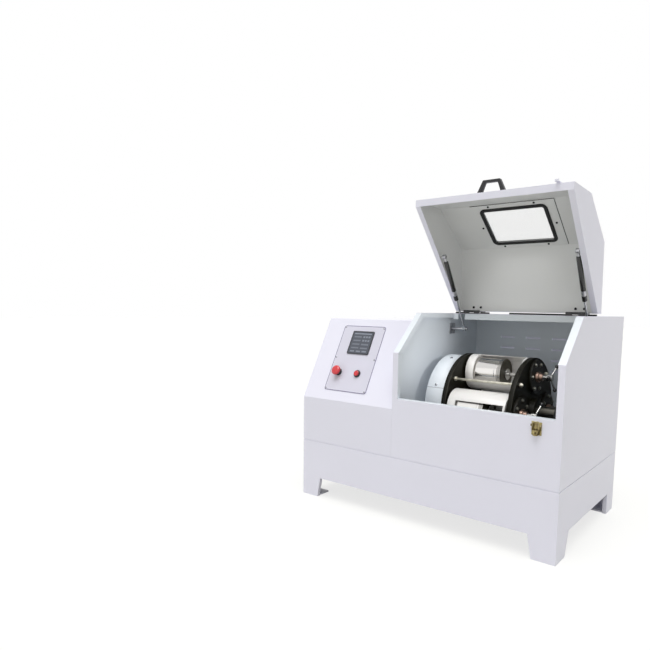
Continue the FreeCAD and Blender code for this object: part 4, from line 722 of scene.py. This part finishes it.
class ControlSettings(bpy.types.PropertyGroup):
    """Colours and sizes of the control panel."""
    film: colour_property("Plate", "Colour of the printed plate", (0.66, 0.65, 0.765))
    line: colour_property("Outline", "Colour of the line round the plate",
                          shade(98, 90, 132))
    line_width: length_property("Outline width", "Width of the line round the plate", 0.0022)
    screen: colour_property("Screen", "Colour of the dark screen", shade(66, 71, 84))
    buttons: colour_property("Buttons", "Colour of the red buttons", shade(214, 42, 52))


class LidSettings(bpy.types.PropertyGroup):
    """Colours of the lid's trim."""
    trim: colour_property("Trim", "Colour of the rubber, hinges and handle",
                          shade(26, 26, 29))
    pane: colour_property("Pane", "Tint of the clear window", (0.97, 0.98, 0.99))


class LatchSettings(bpy.types.PropertyGroup):
    """Colours of the latch's plating."""
    plating: colour_property("Plating", "Main colour of the yellow plating",
                             shade(186, 172, 120))
    tint: colour_property("Tint", "Second colour of the yellow plating",
                          shade(126, 112, 82))


class RotorSettings(bpy.types.PropertyGroup):
    """Colours and sizes of the rotor."""
    disc: colour_property("Discs", "Colour of the carrier discs", shade(22, 21, 12))
    steel: colour_property("Steel", "Colour of bare steel", shade(196, 197, 200))
    holder: colour_property("Holders", "Colour of the jar holders", (0.98, 0.96, 0.95))
    journal: colour_property("Journals", "Colour of the journals and their nuts",
                             shade(150, 124, 110))
    bolt: length_property("Bolt", "Radius of the bearing bolts' heads", 0.0065)


class DriveSettings(bpy.types.PropertyGroup):
    """Colours of the drive inside the cabinet."""
    motor: colour_property("Motor", "Colour of the motor", shade(86, 104, 122))
    casting: colour_property("Castings", "Colour of the castings", shade(58, 59, 58))


class StageSettings(bpy.types.PropertyGroup):
    """Light on the stage."""
    lamp: level_property("Lamp", "Strength of the main lamp", 2.4)
    sky: level_property("Sky", "Strength of the light all round", 0.44)
    paper: level_property("Paper", "How bright the floor is for the mill", 0.62)


# Operators

class MILL_OT_stage(bpy.types.Operator):
    """Build the floor, the light and the photograph's camera"""
    bl_idname = "mill.stage"
    bl_label = "Stage"

    def execute(self, context):
        settings = context.scene.mill_stage
        context.scene.view_settings.view_transform = "Standard"
        self.floor(settings.paper)
        self.sky(context, settings.sky)
        self.lamps(context, settings.lamp)
        self.camera(context)
        return {"FINISHED"}

    def floor(self, level):
        mesh = bmesh.new()
        bmesh.ops.create_grid(mesh, x_segments=1, y_segments=1, size=FLOOR_SIZE)
        data = bpy.data.meshes.new("floor")
        mesh.to_mesh(data)
        mesh.free()
        finish = Finish("floor_white")
        seen = self.looked_at(finish)
        paper = finish.node("ShaderNodeBsdfDiffuse", None,
                            {"Color": (level, level, 0.95 * level, 1)})
        glow = finish.node("ShaderNodeEmission", None,
                           {"Color": (1, 1, 1, 1), "Strength": FLOOR_GLOW})
        mixed = finish.node("ShaderNodeMixShader", None,
                            {0: seen * GLOW_SHARE, 1: finish.wire(paper), 2: finish.wire(glow)})
        finish.node("ShaderNodeOutputMaterial", None, {"Surface": finish.wire(mixed)})
        data.materials.append(finish.material)
        item = bpy.data.objects.new("floor", data)
        bpy.context.scene.collection.objects.link(item)

    def looked_at(self, finish):
        """1 where the camera sees a thing, also in a mirror or through glass, else 0."""
        rays = finish.node("ShaderNodeLightPath")
        seen = finish.maths("MAXIMUM", finish.wire(rays, "Is Camera Ray"),
                            finish.wire(rays, "Is Glossy Ray"))
        return finish.maths("MAXIMUM", seen, finish.wire(rays, "Is Transmission Ray"))

    def sky(self, context, strength):
        world = bpy.data.worlds.new("studio")
        context.scene.world = world
        air = Finish("studio", world)
        seen = self.looked_at(air)
        tint = air.blend(seen, (1, 1, 0.92, 1), (1, 1, 1, 1))
        light = air.node("ShaderNodeBackground", None,
                         {"Color": tint, "Strength": seen * (1 - strength) + strength})
        air.node("ShaderNodeOutputWorld", None, {"Surface": air.wire(light)})

    def lamps(self, context, strength):
        rows = (("main_lamp", strength, MAIN_LAMP, 50),
                ("front_lamp", strength * FRONT_SHARE, FRONT_LAMP, 70))
        for name, power, towards, spread in rows:
            lamp = bpy.data.lights.new(name, "SUN")
            lamp.energy = power
            lamp.angle = math.radians(spread)
            self.hang(context, lamp, Vector(towards) * 3, Vector(towards))
        self.wall_lamp(context)

    def hang(self, context, lamp, place, back):
        """An object for a lamp, which shines away from its back."""
        item = bpy.data.objects.new(lamp.name, lamp)
        item.rotation_mode = "QUATERNION"
        item.rotation_quaternion = back.to_track_quat("Z", "Y")
        item.location = place
        context.scene.collection.objects.link(item)
        return item

    def wall_lamp(self, context):
        """The soft light that reaches the chamber's left wall past the open lid."""
        start, target = Vector(WALL_LAMP["start"]) * MM, Vector(WALL_LAMP["target"]) * MM
        lamp = bpy.data.lights.new("wall_lamp", "SPOT")
        lamp.energy = WALL_LAMP["power"]
        lamp.spot_size = math.radians(WALL_LAMP["cone"])
        lamp.spot_blend = 1
        lamp.shadow_soft_size = WALL_LAMP["radius"]
        item = self.hang(context, lamp, start, start - target)
        item.visible_camera = False
        item.visible_glossy = False
        item.visible_transmission = False

    def camera(self, context):
        data = bpy.data.cameras.new("photo_camera")
        width = CAMERA["picture"]
        data.sensor_width = CAMERA["sensor"]
        data.lens = CAMERA["sensor"] * CAMERA["focal"] / width
        data.shift_x = (width / 2 - CAMERA["middle"][0]) / width
        data.shift_y = (CAMERA["middle"][1] - width / 2) / width
        data.clip_end = 100
        item = bpy.data.objects.new("photo_camera", data)
        item.matrix_world = (shift(*CAMERA["place"]) @ spin(CAMERA["yaw"], "Z")
                             @ spin(90 - CAMERA["pitch"]) @ spin(-CAMERA["roll"], "Z"))
        context.scene.collection.objects.link(item)
        context.scene.camera = item


class MILL_OT_cabinet(bpy.types.Operator):
    """Paint the plinth, the chamber, the control housing and the back"""
    bl_idname = "mill.cabinet"
    bl_label = "Cabinet"

    def execute(self, context):
        settings = context.scene.mill_cabinet
        fold = settings.fold / MM
        paint = powder_coat("cabinet_paint", settings.paint)
        dress(paint, "base_plinth", "control_housing", fold=fold)
        # The chamber's and the lid's inner faces take painted shade: a second tint for their
        # shaded light.
        chamber = powder_coat("chamber_paint_and_shade", settings.paint, inner=settings.chamber,
                              painted_shade_mask=self.chamber_shade_mask)
        dress(chamber, "chamber_shell", fold=fold)
        dress(chamber, "rear_panel", "gear_guard", fold=0.8)
        lid = powder_coat("lid_paint_and_shade", settings.paint, inner=settings.lid_painted_shade, painted_shade_mask=self.lid_shade_mask)
        dress(lid, "lid_shell", fold=fold)
        dress(lid, "window_frame", fold=0.5)
        dress(powder_coat("bed_paint", shade(120, 124, 128), 0.42), "bed_plate")
        return {"FINISHED"}

    def chamber_shade_mask(self, across, fore, up):
        """1 on the faces that look into the milling chamber, where its painted shade goes, else 0.
        """
        skin = 0.5
        inside = (across > (ROOM["left"] - skin) * MM) * (across < (ROOM["right"] + skin) * MM)
        inside = inside * (abs(fore) < (ROOM["half_depth"] + skin) * MM)
        return inside * (up < (ROOM["top"] + skin) * MM)

    def lid_shade_mask(self, across, fore, up):
        """1 on the faces that look into the lid, where its painted shade goes, else 0."""
        skin = 0.8
        inside = (across > (LID_SPAN[0] + skin) * MM) * (across < (LID_SPAN[1] - skin) * MM)
        for line in (LID_FRONT, LID_RIM, LID_MOUTH, LID_SLOPE, LID_TOP):
            side = side_matrix(*line)
            out = side.to_3x3() @ Vector((0, 0, 1))
            level = out.dot(side.translation) - skin * MM
            inside = inside * (fore * out.y + up * out.z < level)
        return inside


class MILL_OT_control_panel(bpy.types.Operator):
    """Build the plate's outline, the touch screen and the two push buttons"""
    bl_idname = "mill.control_panel"
    bl_label = "Control Panel"

    def execute(self, context):
        settings = context.scene.mill_control
        dress(printed_plate("plate_film", settings.film), "control_fascia", fold=0.3)
        here = slope_matrix()
        self.outline(settings, here)
        self.screen(settings, here)
        self.buttons(settings, here)
        return {"FINISHED"}

    def outline(self, settings, here):
        """The dark line printed just inside the plate's edge."""
        inset, face = PRINT["inset"], FASCIA["face"]
        outline = rounded_outline(FASCIA["x0"] + inset, FASCIA["low"] + inset,
                                  FASCIA["x1"] - inset, FASCIA["high"] - inset,
                                  FASCIA["corner"] - inset)
        line = ring_slab(outline, settings.line_width / MM, face + PRINT["low"],
                         face + PRINT["high"], here)
        ink = moulded("outline_ink", settings.line, 0.4, 1800.0, 0.1)
        add_piece("fascia_outline", [line], ink, "cabinet")

    def screen(self, settings, here):
        face, rim, margin = FASCIA["face"], SCREEN["rim"], SCREEN["margin"]
        top = face + SCREEN["proud"]
        x0, y0, x1, y1 = SCREEN["x0"], SCREEN["low"], SCREEN["x1"], SCREEN["high"]
        bezel = ring_slab(rounded_outline(x0, y0, x1, y1, 5), rim, face, top, here, 0.5)
        inner = rounded_outline(x0 + rim, y0 + rim, x1 - rim, y1 - rim, 0.5)
        body = slab([(x0 + margin, y0 + margin), (x1 - margin, y0 + margin),
                     (x1 - margin, y1 - margin), (x0 + margin, y1 - margin)],
                    -SCREEN["body"], face, here, 1.0)
        rim_finish = moulded("screen_rim_plastic", shade(44, 46, 54), 0.35)
        add_piece("screen_bezel", [bezel, body], rim_finish, "cabinet",
                  ["touch_screen"])
        pane = slab(inner, face, top - 0.7, here)
        add_piece("screen_glass", [pane], display_glass("screen_display", settings.screen),
                  "cabinet")

    def buttons(self, settings, here):
        red = moulded("button_red", settings.buttons, 0.24, 2000.0, 0.08, 0.5)
        black = moulded("collar_black", shade(34, 34, 38), 0.38)
        stop = here @ shift(ESTOP["x"], ESTOP["along"], ESTOP["low"])
        add_piece("emergency_stop", [turned(STOP_CAP, stop, 64)], red, "estop",
                  ["estop_head"])
        go = here @ shift(START["x"], START["along"], START["low"])
        add_piece("start_cap", [turned(START_CAP, go, 48)], red, "start",
                  ["start_button"])
        seats = [turned(STOP_COLLAR, here @ shift(ESTOP["x"], ESTOP["along"], 0), 48),
                 turned(START_RING, here @ shift(START["x"], START["along"], 0), 48)]
        add_piece("button_seats", seats, black, "cabinet",
                  ["button_collars"])


class MILL_OT_lid(bpy.types.Operator):
    """Finish the lid's window, gasket, handle and hinges"""
    bl_idname = "mill.lid"
    bl_label = "Lid"

    def execute(self, context):
        settings = context.scene.mill_lid
        rubber = moulded("window_rubber", shade(20, 20, 22), 0.6, 700.0, 0.5)
        plastic = moulded("handle_plastic", settings.trim, 0.4)
        enamel = powder_coat("hinge_black", shade(30, 30, 34), 0.3)
        dress(rubber, "window_gasket", fold=0.8, angle=50)
        dress(plastic, "lid_handle", fold=2.2)
        dress(enamel, "cabinet_hinge_leaves", "lid_hinge_leaves", fold=0.4)
        dress(clear_sheet("window_clear", settings.pane), "window_pane")
        return {"FINISHED"}


class MILL_OT_latch(bpy.types.Operator):
    """Build the draw latch with its tapered lever"""
    bl_idname = "mill.latch"
    bl_label = "Latch"

    def execute(self, context):
        settings = context.scene.mill_latch
        yellow = plated("yellow_plating", settings.plating, settings.tint, 0.34)
        dress(yellow, "latch_base", fold=0.4)
        wire = plated("loop_plating", shade(196, 190, 160), shade(160, 152, 118), 0.28)
        dress(wire, "latch_loop")
        self.lever(yellow)
        return {"FINISHED"}

    def lever(self, finish):
        """A pressed lever: wide at its pin, narrow at its lip, with a slot low in its middle."""
        low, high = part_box("latch_lever")
        middle = (low.x + high.x) / 2 / MM
        face, axis, metal = LATCH["face"], LATCH["axis"], LATCH["metal"]
        foot, shoulder, pin = LATCH["foot"], LATCH["shoulder"], LATCH["pin"]
        half_low, half_top = LATCH["half_low"], LATCH["half_top"]
        outline = [(middle - half_low, foot), (middle + half_low, foot),
                   (middle + half_top, shoulder), (middle - half_top, shoulder)]
        half, start, stop, round_width = LATCH["slot"]
        slot = rounded_outline(middle - half, foot + start, middle + half, foot + stop,
                               round_width, 4)
        shapes = [self.plate_with_slot(outline, slot, -face - metal, -face, spin(90))]
        edge = [(face, foot), (face, shoulder), (face + 1.2, pin + 2.6),
                (axis + 3.4, pin + 1.5), (LATCH["back"], shoulder + 6),
                (LATCH["back"], shoulder + 3), (axis, foot)]
        stub = LATCH["stub"]
        for side in (-1, 1):
            shapes.append(self.flange(middle, side, edge))
            start = LATCH["stub_start"] if side > 0 else -LATCH["stub_start"] - stub
            shapes.append(turned([(0, 0), (0, 1.45), (stub, 1.45), (stub, 0)],
                                 along_x(middle + start, axis, pin), 20))
        lip = [(middle - half_low + 1.2, LATCH["lip"]), (middle + half_low - 1.2, LATCH["lip"]),
               (middle + half_low, axis + 0.4), (middle - half_low, axis + 0.4)]
        shapes.append(slab(lip, foot, foot + metal, Matrix.Identity(4), 0.35))
        add_piece("latch_handle", shapes, finish, "latch", ["latch_lever"])

    def plate_with_slot(self, outline, slot, low, high, place):
        """A flat plate between two heights, with a slot through it."""
        mesh = bmesh.new()
        lines = loop(mesh, corners(mesh, outline, low)) + loop(mesh, corners(mesh, slot, low))
        bmesh.ops.triangle_fill(mesh, edges=lines, use_beauty=True)
        bmesh.ops.dissolve_limit(mesh, angle_limit=0.01, verts=mesh.verts, edges=mesh.edges)
        return raise_plate(mesh, list(mesh.faces), high - low, place)

    def flange(self, middle, side, edge):
        """One side wall, which leans with the lever's taper and is square above it."""
        mesh = slab(edge, 0, LATCH["metal"], Matrix.Identity(4))
        for vert in mesh.verts:
            y, z, depth = vert.co / MM
            share = (z - LATCH["foot"]) / (LATCH["shoulder"] - LATCH["foot"])
            share = min(max(share, 0), 1)
            reach = LATCH["half_low"] + (LATCH["half_top"] - LATCH["half_low"]) * share
            vert.co = Vector((middle + side * (reach - depth), y, z)) * MM
        bmesh.ops.recalc_face_normals(mesh, faces=mesh.faces)
        return mesh


class MILL_OT_struts(bpy.types.Operator):
    """Build the two gas struts"""
    bl_idname = "mill.struts"
    bl_label = "Gas Struts"

    def execute(self, context):
        along = STRUT_HEAD - STRUT_FOOT
        length = along.length / MM
        black = moulded("strut_black", shade(24, 23, 22), 0.2, 600.0, 0.1, 0.5)
        bright = brushed("strut_chrome", shade(210, 211, 214), 0.14, (500, 500, 6), 0.15)
        eye_steel = plated("strut_zinc", shade(200, 200, 202), shade(170, 171, 176))
        tubes, eyes, rods = [], [], []
        for x in STRUT_PLACES:
            place = Matrix.Translation(STRUT_FOOT + Vector((x * MM, 0, 0)))
            place = place @ Vector((0, 0, 1)).rotation_difference(along).to_matrix().to_4x4()
            low, top, end = length - STRUT["tube_end"], length - STRUT["tube_top"], STRUT["rod"]
            band = low + STRUT["band_low"], low + STRUT["band_high"]
            bore = low + STRUT["bore"]
            tubes.append(turned([
                (top, 0), (top, 6), (top - 1.5, 8), (top - 5, 9), (band[1] + 1, 9),
                (band[1] + 0.4, 8.4), (band[0] - 0.4, 8.4), (band[0] - 1, 9), (low + 1.5, 9),
                (low, 8.2), (low, 4.3), (bore, 4.3), (bore, 0)], place, 40))
            eyes.append(turned([(band[0], 8.5), (band[0], 8.9), (band[1], 8.9), (band[1], 8.5)],
                               place, 40))
            eyes.append(turned([(top - 1, 0), (top - 1, 5), (top + 9, 5), (top + 11, 4),
                                (length - 6, 4), (length - 6, 0)], place, 24))
            eyes.append(self.eye(place, length))
            rods.append(turned([(5, 0), (5, 4), (end - 2, 4), (end, 3), (end, 0)], place, 28))
            rods.append(turned(ROD_NUT, place, 6))
            rods.append(self.eye(place, 0))
        add_piece("strut_cylinders", tubes, black, "strut_tube_pair",
                  ["strut_tubes"])
        add_piece("strut_eyes", eyes, eye_steel, "strut_tube_pair")
        add_piece("strut_pistons", rods, bright, "strut_rod_pair",
                  ["strut_rods"])
        dress(eye_steel, "strut_brackets", fold=0.5)
        return {"FINISHED"}

    def eye(self, place, height):
        """A round eyelet across the strut, with rounded rims."""
        across = place @ shift(0, 0, height) @ spin(90, "Y")
        return turned(EYELET, across, 40)


class MILL_OT_carrier(bpy.types.Operator):
    """Finish the carrier discs and build their tie rods and bearing bolts"""
    bl_idname = "mill.carrier"
    bl_label = "Carrier"

    def execute(self, context):
        settings = context.scene.mill_rotor
        low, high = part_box("carrier_discs")
        radius = (high.z - low.z) / 2
        # Its lighter edge colour is partly wear and partly a painted highlight.
        disc = turned_disc("disc_black", settings.disc, shade(84, 82, 74), radius)
        dress(disc, "carrier_discs", fold=1.0)
        enamel = powder_coat("flange_black", shade(30, 29, 24), 0.4, 500.0, coat=0.0,
                             specular=0.22)
        dress(enamel, "planet_bearings", fold=1.0)
        dress(brushed("shaft_steel", shade(96, 94, 88), 0.34, (700, 12, 12)), "main_shaft")
        cream = plated("tie_zinc", shade(222, 218, 204), shade(196, 192, 178), 0.46)
        self.tie_rods(cream)
        zinc = plated("bolt_zinc", shade(168, 168, 160), shade(128, 126, 118), 0.30)
        self.bolts(zinc, settings.bolt / MM)
        return {"FINISHED"}

    def tie_rods(self, finish):
        """Four bars with a threaded end and three nuts each."""
        shapes = []
        start, radius, pitch = TIE["start"], TIE["radius"], TIE["pitch"]
        for index in range(4):
            angle = math.radians(FIRST_STATION + TIE["turn"] + 90 * index)
            y = TIE["orbit"] * math.cos(angle)
            z = ROTOR_HEIGHT + TIE["orbit"] * math.sin(angle)
            place = along_x(0, y, z)
            bar = [(start, 0), (start, radius - 0.6), (start + 1, radius),
                   (TIE["nuts"][1], radius)]
            step = TIE["thread"]
            while step < TIE["thread_end"]:
                bar += [(step, radius), (step + pitch / 2, radius - 0.5)]
                step += pitch
            bar += [(TIE["end"], radius - 0.8), (TIE["end"], 0)]
            shapes.append(turned(bar, place, 20))
            for low in TIE["nuts"]:
                shapes.append(hexagon(TIE["nut_radius"], low, low + TIE["nut_height"], place))
        add_piece("tie_bars", shapes, finish, "rotor", ["tie_rods"])

    def bolts(self, finish, head):
        """A row of bolts with washers round each outer bearing flange."""
        shapes = []
        reach, washer, count = FLANGE["bolt_circle"], FLANGE["washer"], FLANGE["bolts"]
        for index in STATIONS:
            y, z = station_place(index)
            for step in range(count):
                turn = FIRST_STATION + 90 * (index - 1) + 360 / count * (step + 0.5)
                angle = math.radians(turn)
                place = along_x(FLANGE["face"], y + reach * math.cos(angle),
                                z + reach * math.sin(angle), angle)
                shapes.append(turned([(0, 0), (0, head * 1.25), (washer, head * 1.25),
                                      (washer, 0)], place, 24))
                shapes.append(hexagon(head, washer, FLANGE["head_top"], place, 0.5))
        add_piece("bearing_bolts", shapes, finish, "rotor")


class MILL_OT_stations(bpy.types.Operator):
    """Build the jars, their lids, clamp screws and spoked handles"""
    bl_idname = "mill.stations"
    bl_label = "Jar Stations"

    def execute(self, context):
        settings = context.scene.mill_rotor
        paint = holder_paint("holder_white", settings.holder, settings.journal)
        jar_steel = turned_steel("jar_steel", shade(218, 216, 213), 0.12, 0.06, 0.06)
        # The lid's second colour is the outer face's painted dark reflection.
        lid_steel = jar_lid_steel("jar_lid_steel", shade(186, 184, 180),
                                  shade(66, 62, 46))
        screw_steel = turned_steel("screw_steel", shade(204, 203, 200), 0.18)
        knob_black = moulded("knob_black", shade(22, 22, 24), 0.16, 900.0, 0.05, 0.7)
        for index in STATIONS:
            dress(paint, f"holder_{index}", fold=0.9)
            y, z = station_place(index)
            place = along_x(0, y, z)
            self.jar(index, place, jar_steel, lid_steel)
            self.screw(index, place, screw_steel)
            self.handle(index, y, z, screw_steel, knob_black)
        return {"FINISHED"}

    def jar(self, index, place, jar_steel, lid_steel):
        """A polished jar and its lid; their heights are places along the rotor."""
        low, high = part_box(f"jar_{index}")
        full = (high.z - low.z) / 2 / MM
        bore = full - 6
        body = [(72.3, 0), (72.3, full - 2.5), (73.8, full - 1), (96, full - 1), (97, full),
                (178, full), (179.5, full - 1.2), (188, full - 1.2), (189, full - 2.2),
                (189, bore), (82.3, bore), (82.3, 0)]
        add_piece(f"jar_body_{index}", [turned(body, place, 96)], jar_steel,
                  f"station_{index}", [f"jar_{index}"])
        plug = bore - 0.3
        lid = [(183, 0), (183, plug), (189, plug), (189, full - 1.5), (190, full),
               (196, full), (197, full - 1), (199, full - 1), (200, full), (203.5, full),
               (205, full - 1.5), (205, 26), (204, 25), (204, 0)]
        add_piece(f"jar_cap_{index}", [turned(lid, place, 96)], lid_steel,
                  f"station_{index}", [f"jar_lid_{index}"])

    def screw(self, index, place, finish):
        """A threaded spindle with a round pressure pad."""
        start, pitch, radius, root = (THREAD[key] for key in ("start", "pitch", "radius", "root"))
        thread = [(205.3, 0), (205.3, 20.8), (206.5, 22), (211.5, 22), (213.3, 20.5),
                  (213.3, radius), (start, radius)]
        while start < THREAD["end"]:
            thread += [(start + pitch / 4, root), (start + pitch / 2, root),
                       (start + pitch * 3 / 4, radius), (start + pitch, radius)]
            start += pitch
        thread += [(380, radius), (381, radius - 1), (381, 0)]
        add_piece(f"clamp_spindle_{index}", [turned(thread, place, 36)], finish,
                  f"clamp_{index}", [f"clamp_screw_{index}"])

    def handle(self, index, y, z, steel, black):
        """A turned hub with three leaning spokes, each ending in a ball knob."""
        station = shift(0, y, z) @ spin(SPOKE_START)
        spokes, knobs = [turned(HUB, along_x(0, y, z), 48)], []
        for around in (0, 120, 240):
            arm = station @ spin(around) @ shift(SPOKE_FOOT, 0, 0) @ spin(SPOKE_LEAN, "Y")
            spokes.append(turned(SPOKE, arm, 20))
            low, radius = KNOB["centre"] - KNOB["radius"], KNOB["radius"]
            ball = [(low, 0), (low, 3.4), (low + 1.2, 4.4)]
            for step in range(1, 12):
                turn = math.radians(-50 + step * 140 / 12)
                ball.append((low + radius + radius * math.sin(turn), radius * math.cos(turn)))
            ball.append((low + 2 * radius, 0))
            knobs.append(turned(ball, arm, 28))
        add_piece(f"handle_spokes_{index}", spokes, steel, f"handle_{index}",
                  [f"clamp_handle_{index}"])
        add_piece(f"handle_knobs_{index}", knobs, black, f"handle_{index}")


class MILL_OT_drive(bpy.types.Operator):
    """Finish the motor, pulleys, belt, gears and bearing pedestals"""
    bl_idname = "mill.drive"
    bl_label = "Drive"

    def execute(self, context):
        settings = context.scene.mill_drive
        steel = context.scene.mill_rotor.steel
        dress(powder_coat("motor_paint", settings.motor, 0.4, 500.0), "motor")
        dress(cast_iron("pedestal_casting", settings.casting), "bearing_pedestals", fold=1.0)
        dress(cast_iron("pulley_casting", shade(58, 60, 62)), "driven_pulley",
              "motor_pulley")
        dress(moulded("belt_rubber", shade(24, 24, 25), 0.62, 300.0, 0.5), "drive_belt")
        gears = brushed("gear_steel", steel, 0.3, (500, 40, 40), 0.3)
        dress(gears, "sun_gear", *(f"planet_gear_{index}" for index in STATIONS))
        return {"FINISHED"}


class MILL_OT_trim(bpy.types.Operator):
    """Build the thin trim: wall lips, deck seal, the window frame's painted shadow line and the
    guard's seam
    """
    bl_idname = "mill.trim"
    bl_label = "Trim"

    def execute(self, context):
        # The lips take the chamber paint with its painted shade.
        paint = bpy.data.materials["chamber_paint_and_shade"]
        rubber = bpy.data.materials["window_rubber"]
        self.lips(paint)
        self.deck_seal(rubber)
        # A dark strip in the rubber finish paints the window frame's shadow line.
        self.frame_shadow(rubber)
        self.seam()
        return {"FINISHED"}

    def lips(self, finish):
        """A folded lip under the inner edge of each side wall's slope and top."""
        depth, metal, column = 18, 1.8, 18
        front, foot, deck = MOUTH["front"], MOUTH["slope_foot"], MOUTH["deck"]
        bend = front + MOUTH["slope_depth"]
        rise = deck - foot
        length = math.hypot(MOUTH["slope_depth"], rise)
        low = Vector((front + depth * rise / length, foot - depth * MOUTH["slope_depth"] / length))
        slope = rise / MOUTH["slope_depth"]
        inner_bend = low.x + (deck - depth - low.y) / slope
        column_end = front + column
        points = [(front + 0.5, foot - 0.5), (bend - 0.2, deck - 0.5),
                  (MOUTH["rear"] - 1, deck - 0.5), (MOUTH["rear"] - 1, deck - depth),
                  (inner_bend, deck - depth),
                  (column_end, low.y + (column_end - low.x) * slope)]
        shapes = [slab(points, MOUTH["left"], MOUTH["left"] + metal, SIDEWAYS),
                  slab(points, MOUTH["right"] - metal, MOUTH["right"], SIDEWAYS)]
        add_piece("wall_lips", shapes, finish, "cabinet")

    def deck_seal(self, finish):
        """Rubber strips on the deck's front edge, with gaps at the hinges and between them."""
        outline = rounded_outline(SEAL["front"], SEAL["low"], SEAL["rear"], SEAL["high"],
                                  SEAL["corner"], 4)
        shapes = [slab(outline, *span, SIDEWAYS) for span in SEAL["spans"]]
        add_piece("deck_seal", shapes, finish, "cabinet")

    def frame_shadow(self, finish):
        """A dark strip along the upper and right edges of the window's frame plate: a painted
        shadow line.
        """
        shadow_width = FRAME_SHADOW["width"]
        x0, x1, low, high = (FRAME_PLATE[key] for key in ("x0", "x1", "low", "high"))
        corner = [(x0, low - shadow_width), (x1 + shadow_width, low - shadow_width), (x1 + shadow_width, high), (x1 + 0.1, high),
                  (x1 + 0.1, low - 0.1), (x0, low - 0.1)]
        strip = slab(corner, FRAME_SHADOW["low"], FRAME_SHADOW["high"], side_matrix(*LID_SLOPE))
        add_piece("frame_shadow_line", [strip], finish, "lid")

    def seam(self):
        """The joint line between the guard's round top and its straight skirt."""
        ink = moulded("seam_grey", shade(112, 112, 124), 0.5, 900.0, 0.1)
        place = guard_place(GUARD_SEAM["turn"])
        half, rise = GUARD_SEAM["half_length"], GUARD_SEAM["half_width"]
        line = slab([(-half, -rise), (half, -rise), (half, rise), (-half, rise)],
                    -rise / 2, rise / 2, place)
        add_piece("guard_seam", [line], ink, "cabinet")


class MILL_OT_screws(bpy.types.Operator):
    """Build the cross-head screws of the cabinet and the lid"""
    bl_idname = "mill.screws"
    bl_label = "Screws"

    def execute(self, context):
        zinc = plated("screw_zinc", shade(196, 197, 200), shade(160, 162, 168), 0.26)
        black = plated("screw_black", shade(58, 58, 62), shade(36, 36, 40), 0.36)
        self.cabinet(zinc)
        self.lid(black)
        return {"FINISHED"}

    def cabinet(self, finish):
        shapes = []
        for x in (FASCIA["x0"] + FASCIA_INSET, FASCIA["x1"] - FASCIA_INSET):
            for along in (FASCIA["low"] + FASCIA_INSET, (FASCIA["low"] + FASCIA["high"]) / 2,
                          FASCIA["high"] - FASCIA_INSET):
                place = slope_matrix() @ shift(x, along, FASCIA["face"])
                shapes.append(cross_screw(*SMALL_SCREW, place))
        for angle in GUARD_ANGLES:
            shapes.append(cross_screw(*GUARD_SCREW, guard_place(angle)))
        for x in BACK_COLUMNS:
            for z in BACK_ROWS:
                shapes.append(cross_screw(*SMALL_SCREW, shift(x, BACK, z) @ spin(-90)))
        add_piece("panel_screws", shapes, finish, "cabinet", ["cabinet_screws"])

    def lid(self, finish):
        shapes = []
        over = spin(180)
        window = side_matrix(*LID_SLOPE)
        for x, along in WINDOW_SPOTS:
            place = window @ shift(LID_MIDDLE + x, along, -2 * LID_SHEET)
            shapes.append(cross_screw(*SMALL_SCREW, place @ over))
        top = side_matrix(*LID_TOP)
        length = math.hypot(LID_TOP[1][0] - LID_TOP[0][0], LID_TOP[1][1] - LID_TOP[0][1])
        for x in HINGE_SPOTS:
            for side in (-HINGE_SPOT_HALF, HINGE_SPOT_HALF):
                spot = shift(LID_MIDDLE + x + side, length - HINGE_SPOT_INSET, -LID_SHEET)
                shapes.append(cross_screw(*HINGE_SCREW, top @ spot @ over))
        add_piece("lid_screw_heads", shapes, finish, "lid", ["lid_screws"])


class MILL_PT_sidebar(bpy.types.Panel):
    """The mill's pieces and their settings"""
    bl_label = "Planetary Ball Mill"
    bl_idname = "MILL_PT_sidebar"
    bl_space_type = "VIEW_3D"
    bl_region_type = "UI"
    bl_category = "Ball Mill"

    def draw(self, context):
        for operator in OPERATORS:
            self.layout.operator(operator.bl_idname)
        for name, group in SETTINGS.items():
            box = self.layout.box()
            box.label(text=group.__doc__)
            for key in group.__annotations__:
                box.prop(getattr(context.scene, name), key)


SETTINGS = {
    "mill_stage": StageSettings,
    "mill_cabinet": CabinetSettings,
    "mill_control": ControlSettings,
    "mill_lid": LidSettings,
    "mill_latch": LatchSettings,
    "mill_rotor": RotorSettings,
    "mill_drive": DriveSettings,
}
OPERATORS = (MILL_OT_stage, MILL_OT_cabinet, MILL_OT_control_panel, MILL_OT_lid,
             MILL_OT_latch, MILL_OT_struts, MILL_OT_carrier, MILL_OT_stations,
             MILL_OT_drive, MILL_OT_trim, MILL_OT_screws)
CLASSES = (*SETTINGS.values(), *OPERATORS, MILL_PT_sidebar)


def register():
    for item in CLASSES:
        bpy.utils.register_class(item)
    for name, group in SETTINGS.items():
        setattr(bpy.types.Scene, name, bpy.props.PointerProperty(type=group))


def unregister():
    for name in SETTINGS:
        delattr(bpy.types.Scene, name)
    for item in reversed(CLASSES):
        bpy.utils.unregister_class(item)


def main():
    register()
    bpy.ops.mill.stage()
    bpy.ops.mill.cabinet()
    bpy.ops.mill.control_panel()
    bpy.ops.mill.lid()
    bpy.ops.mill.latch()
    bpy.ops.mill.struts()
    bpy.ops.mill.carrier()
    bpy.ops.mill.stations()
    bpy.ops.mill.drive()
    bpy.ops.mill.trim()
    bpy.ops.mill.screws()


if __name__ == "__main__":
    main()
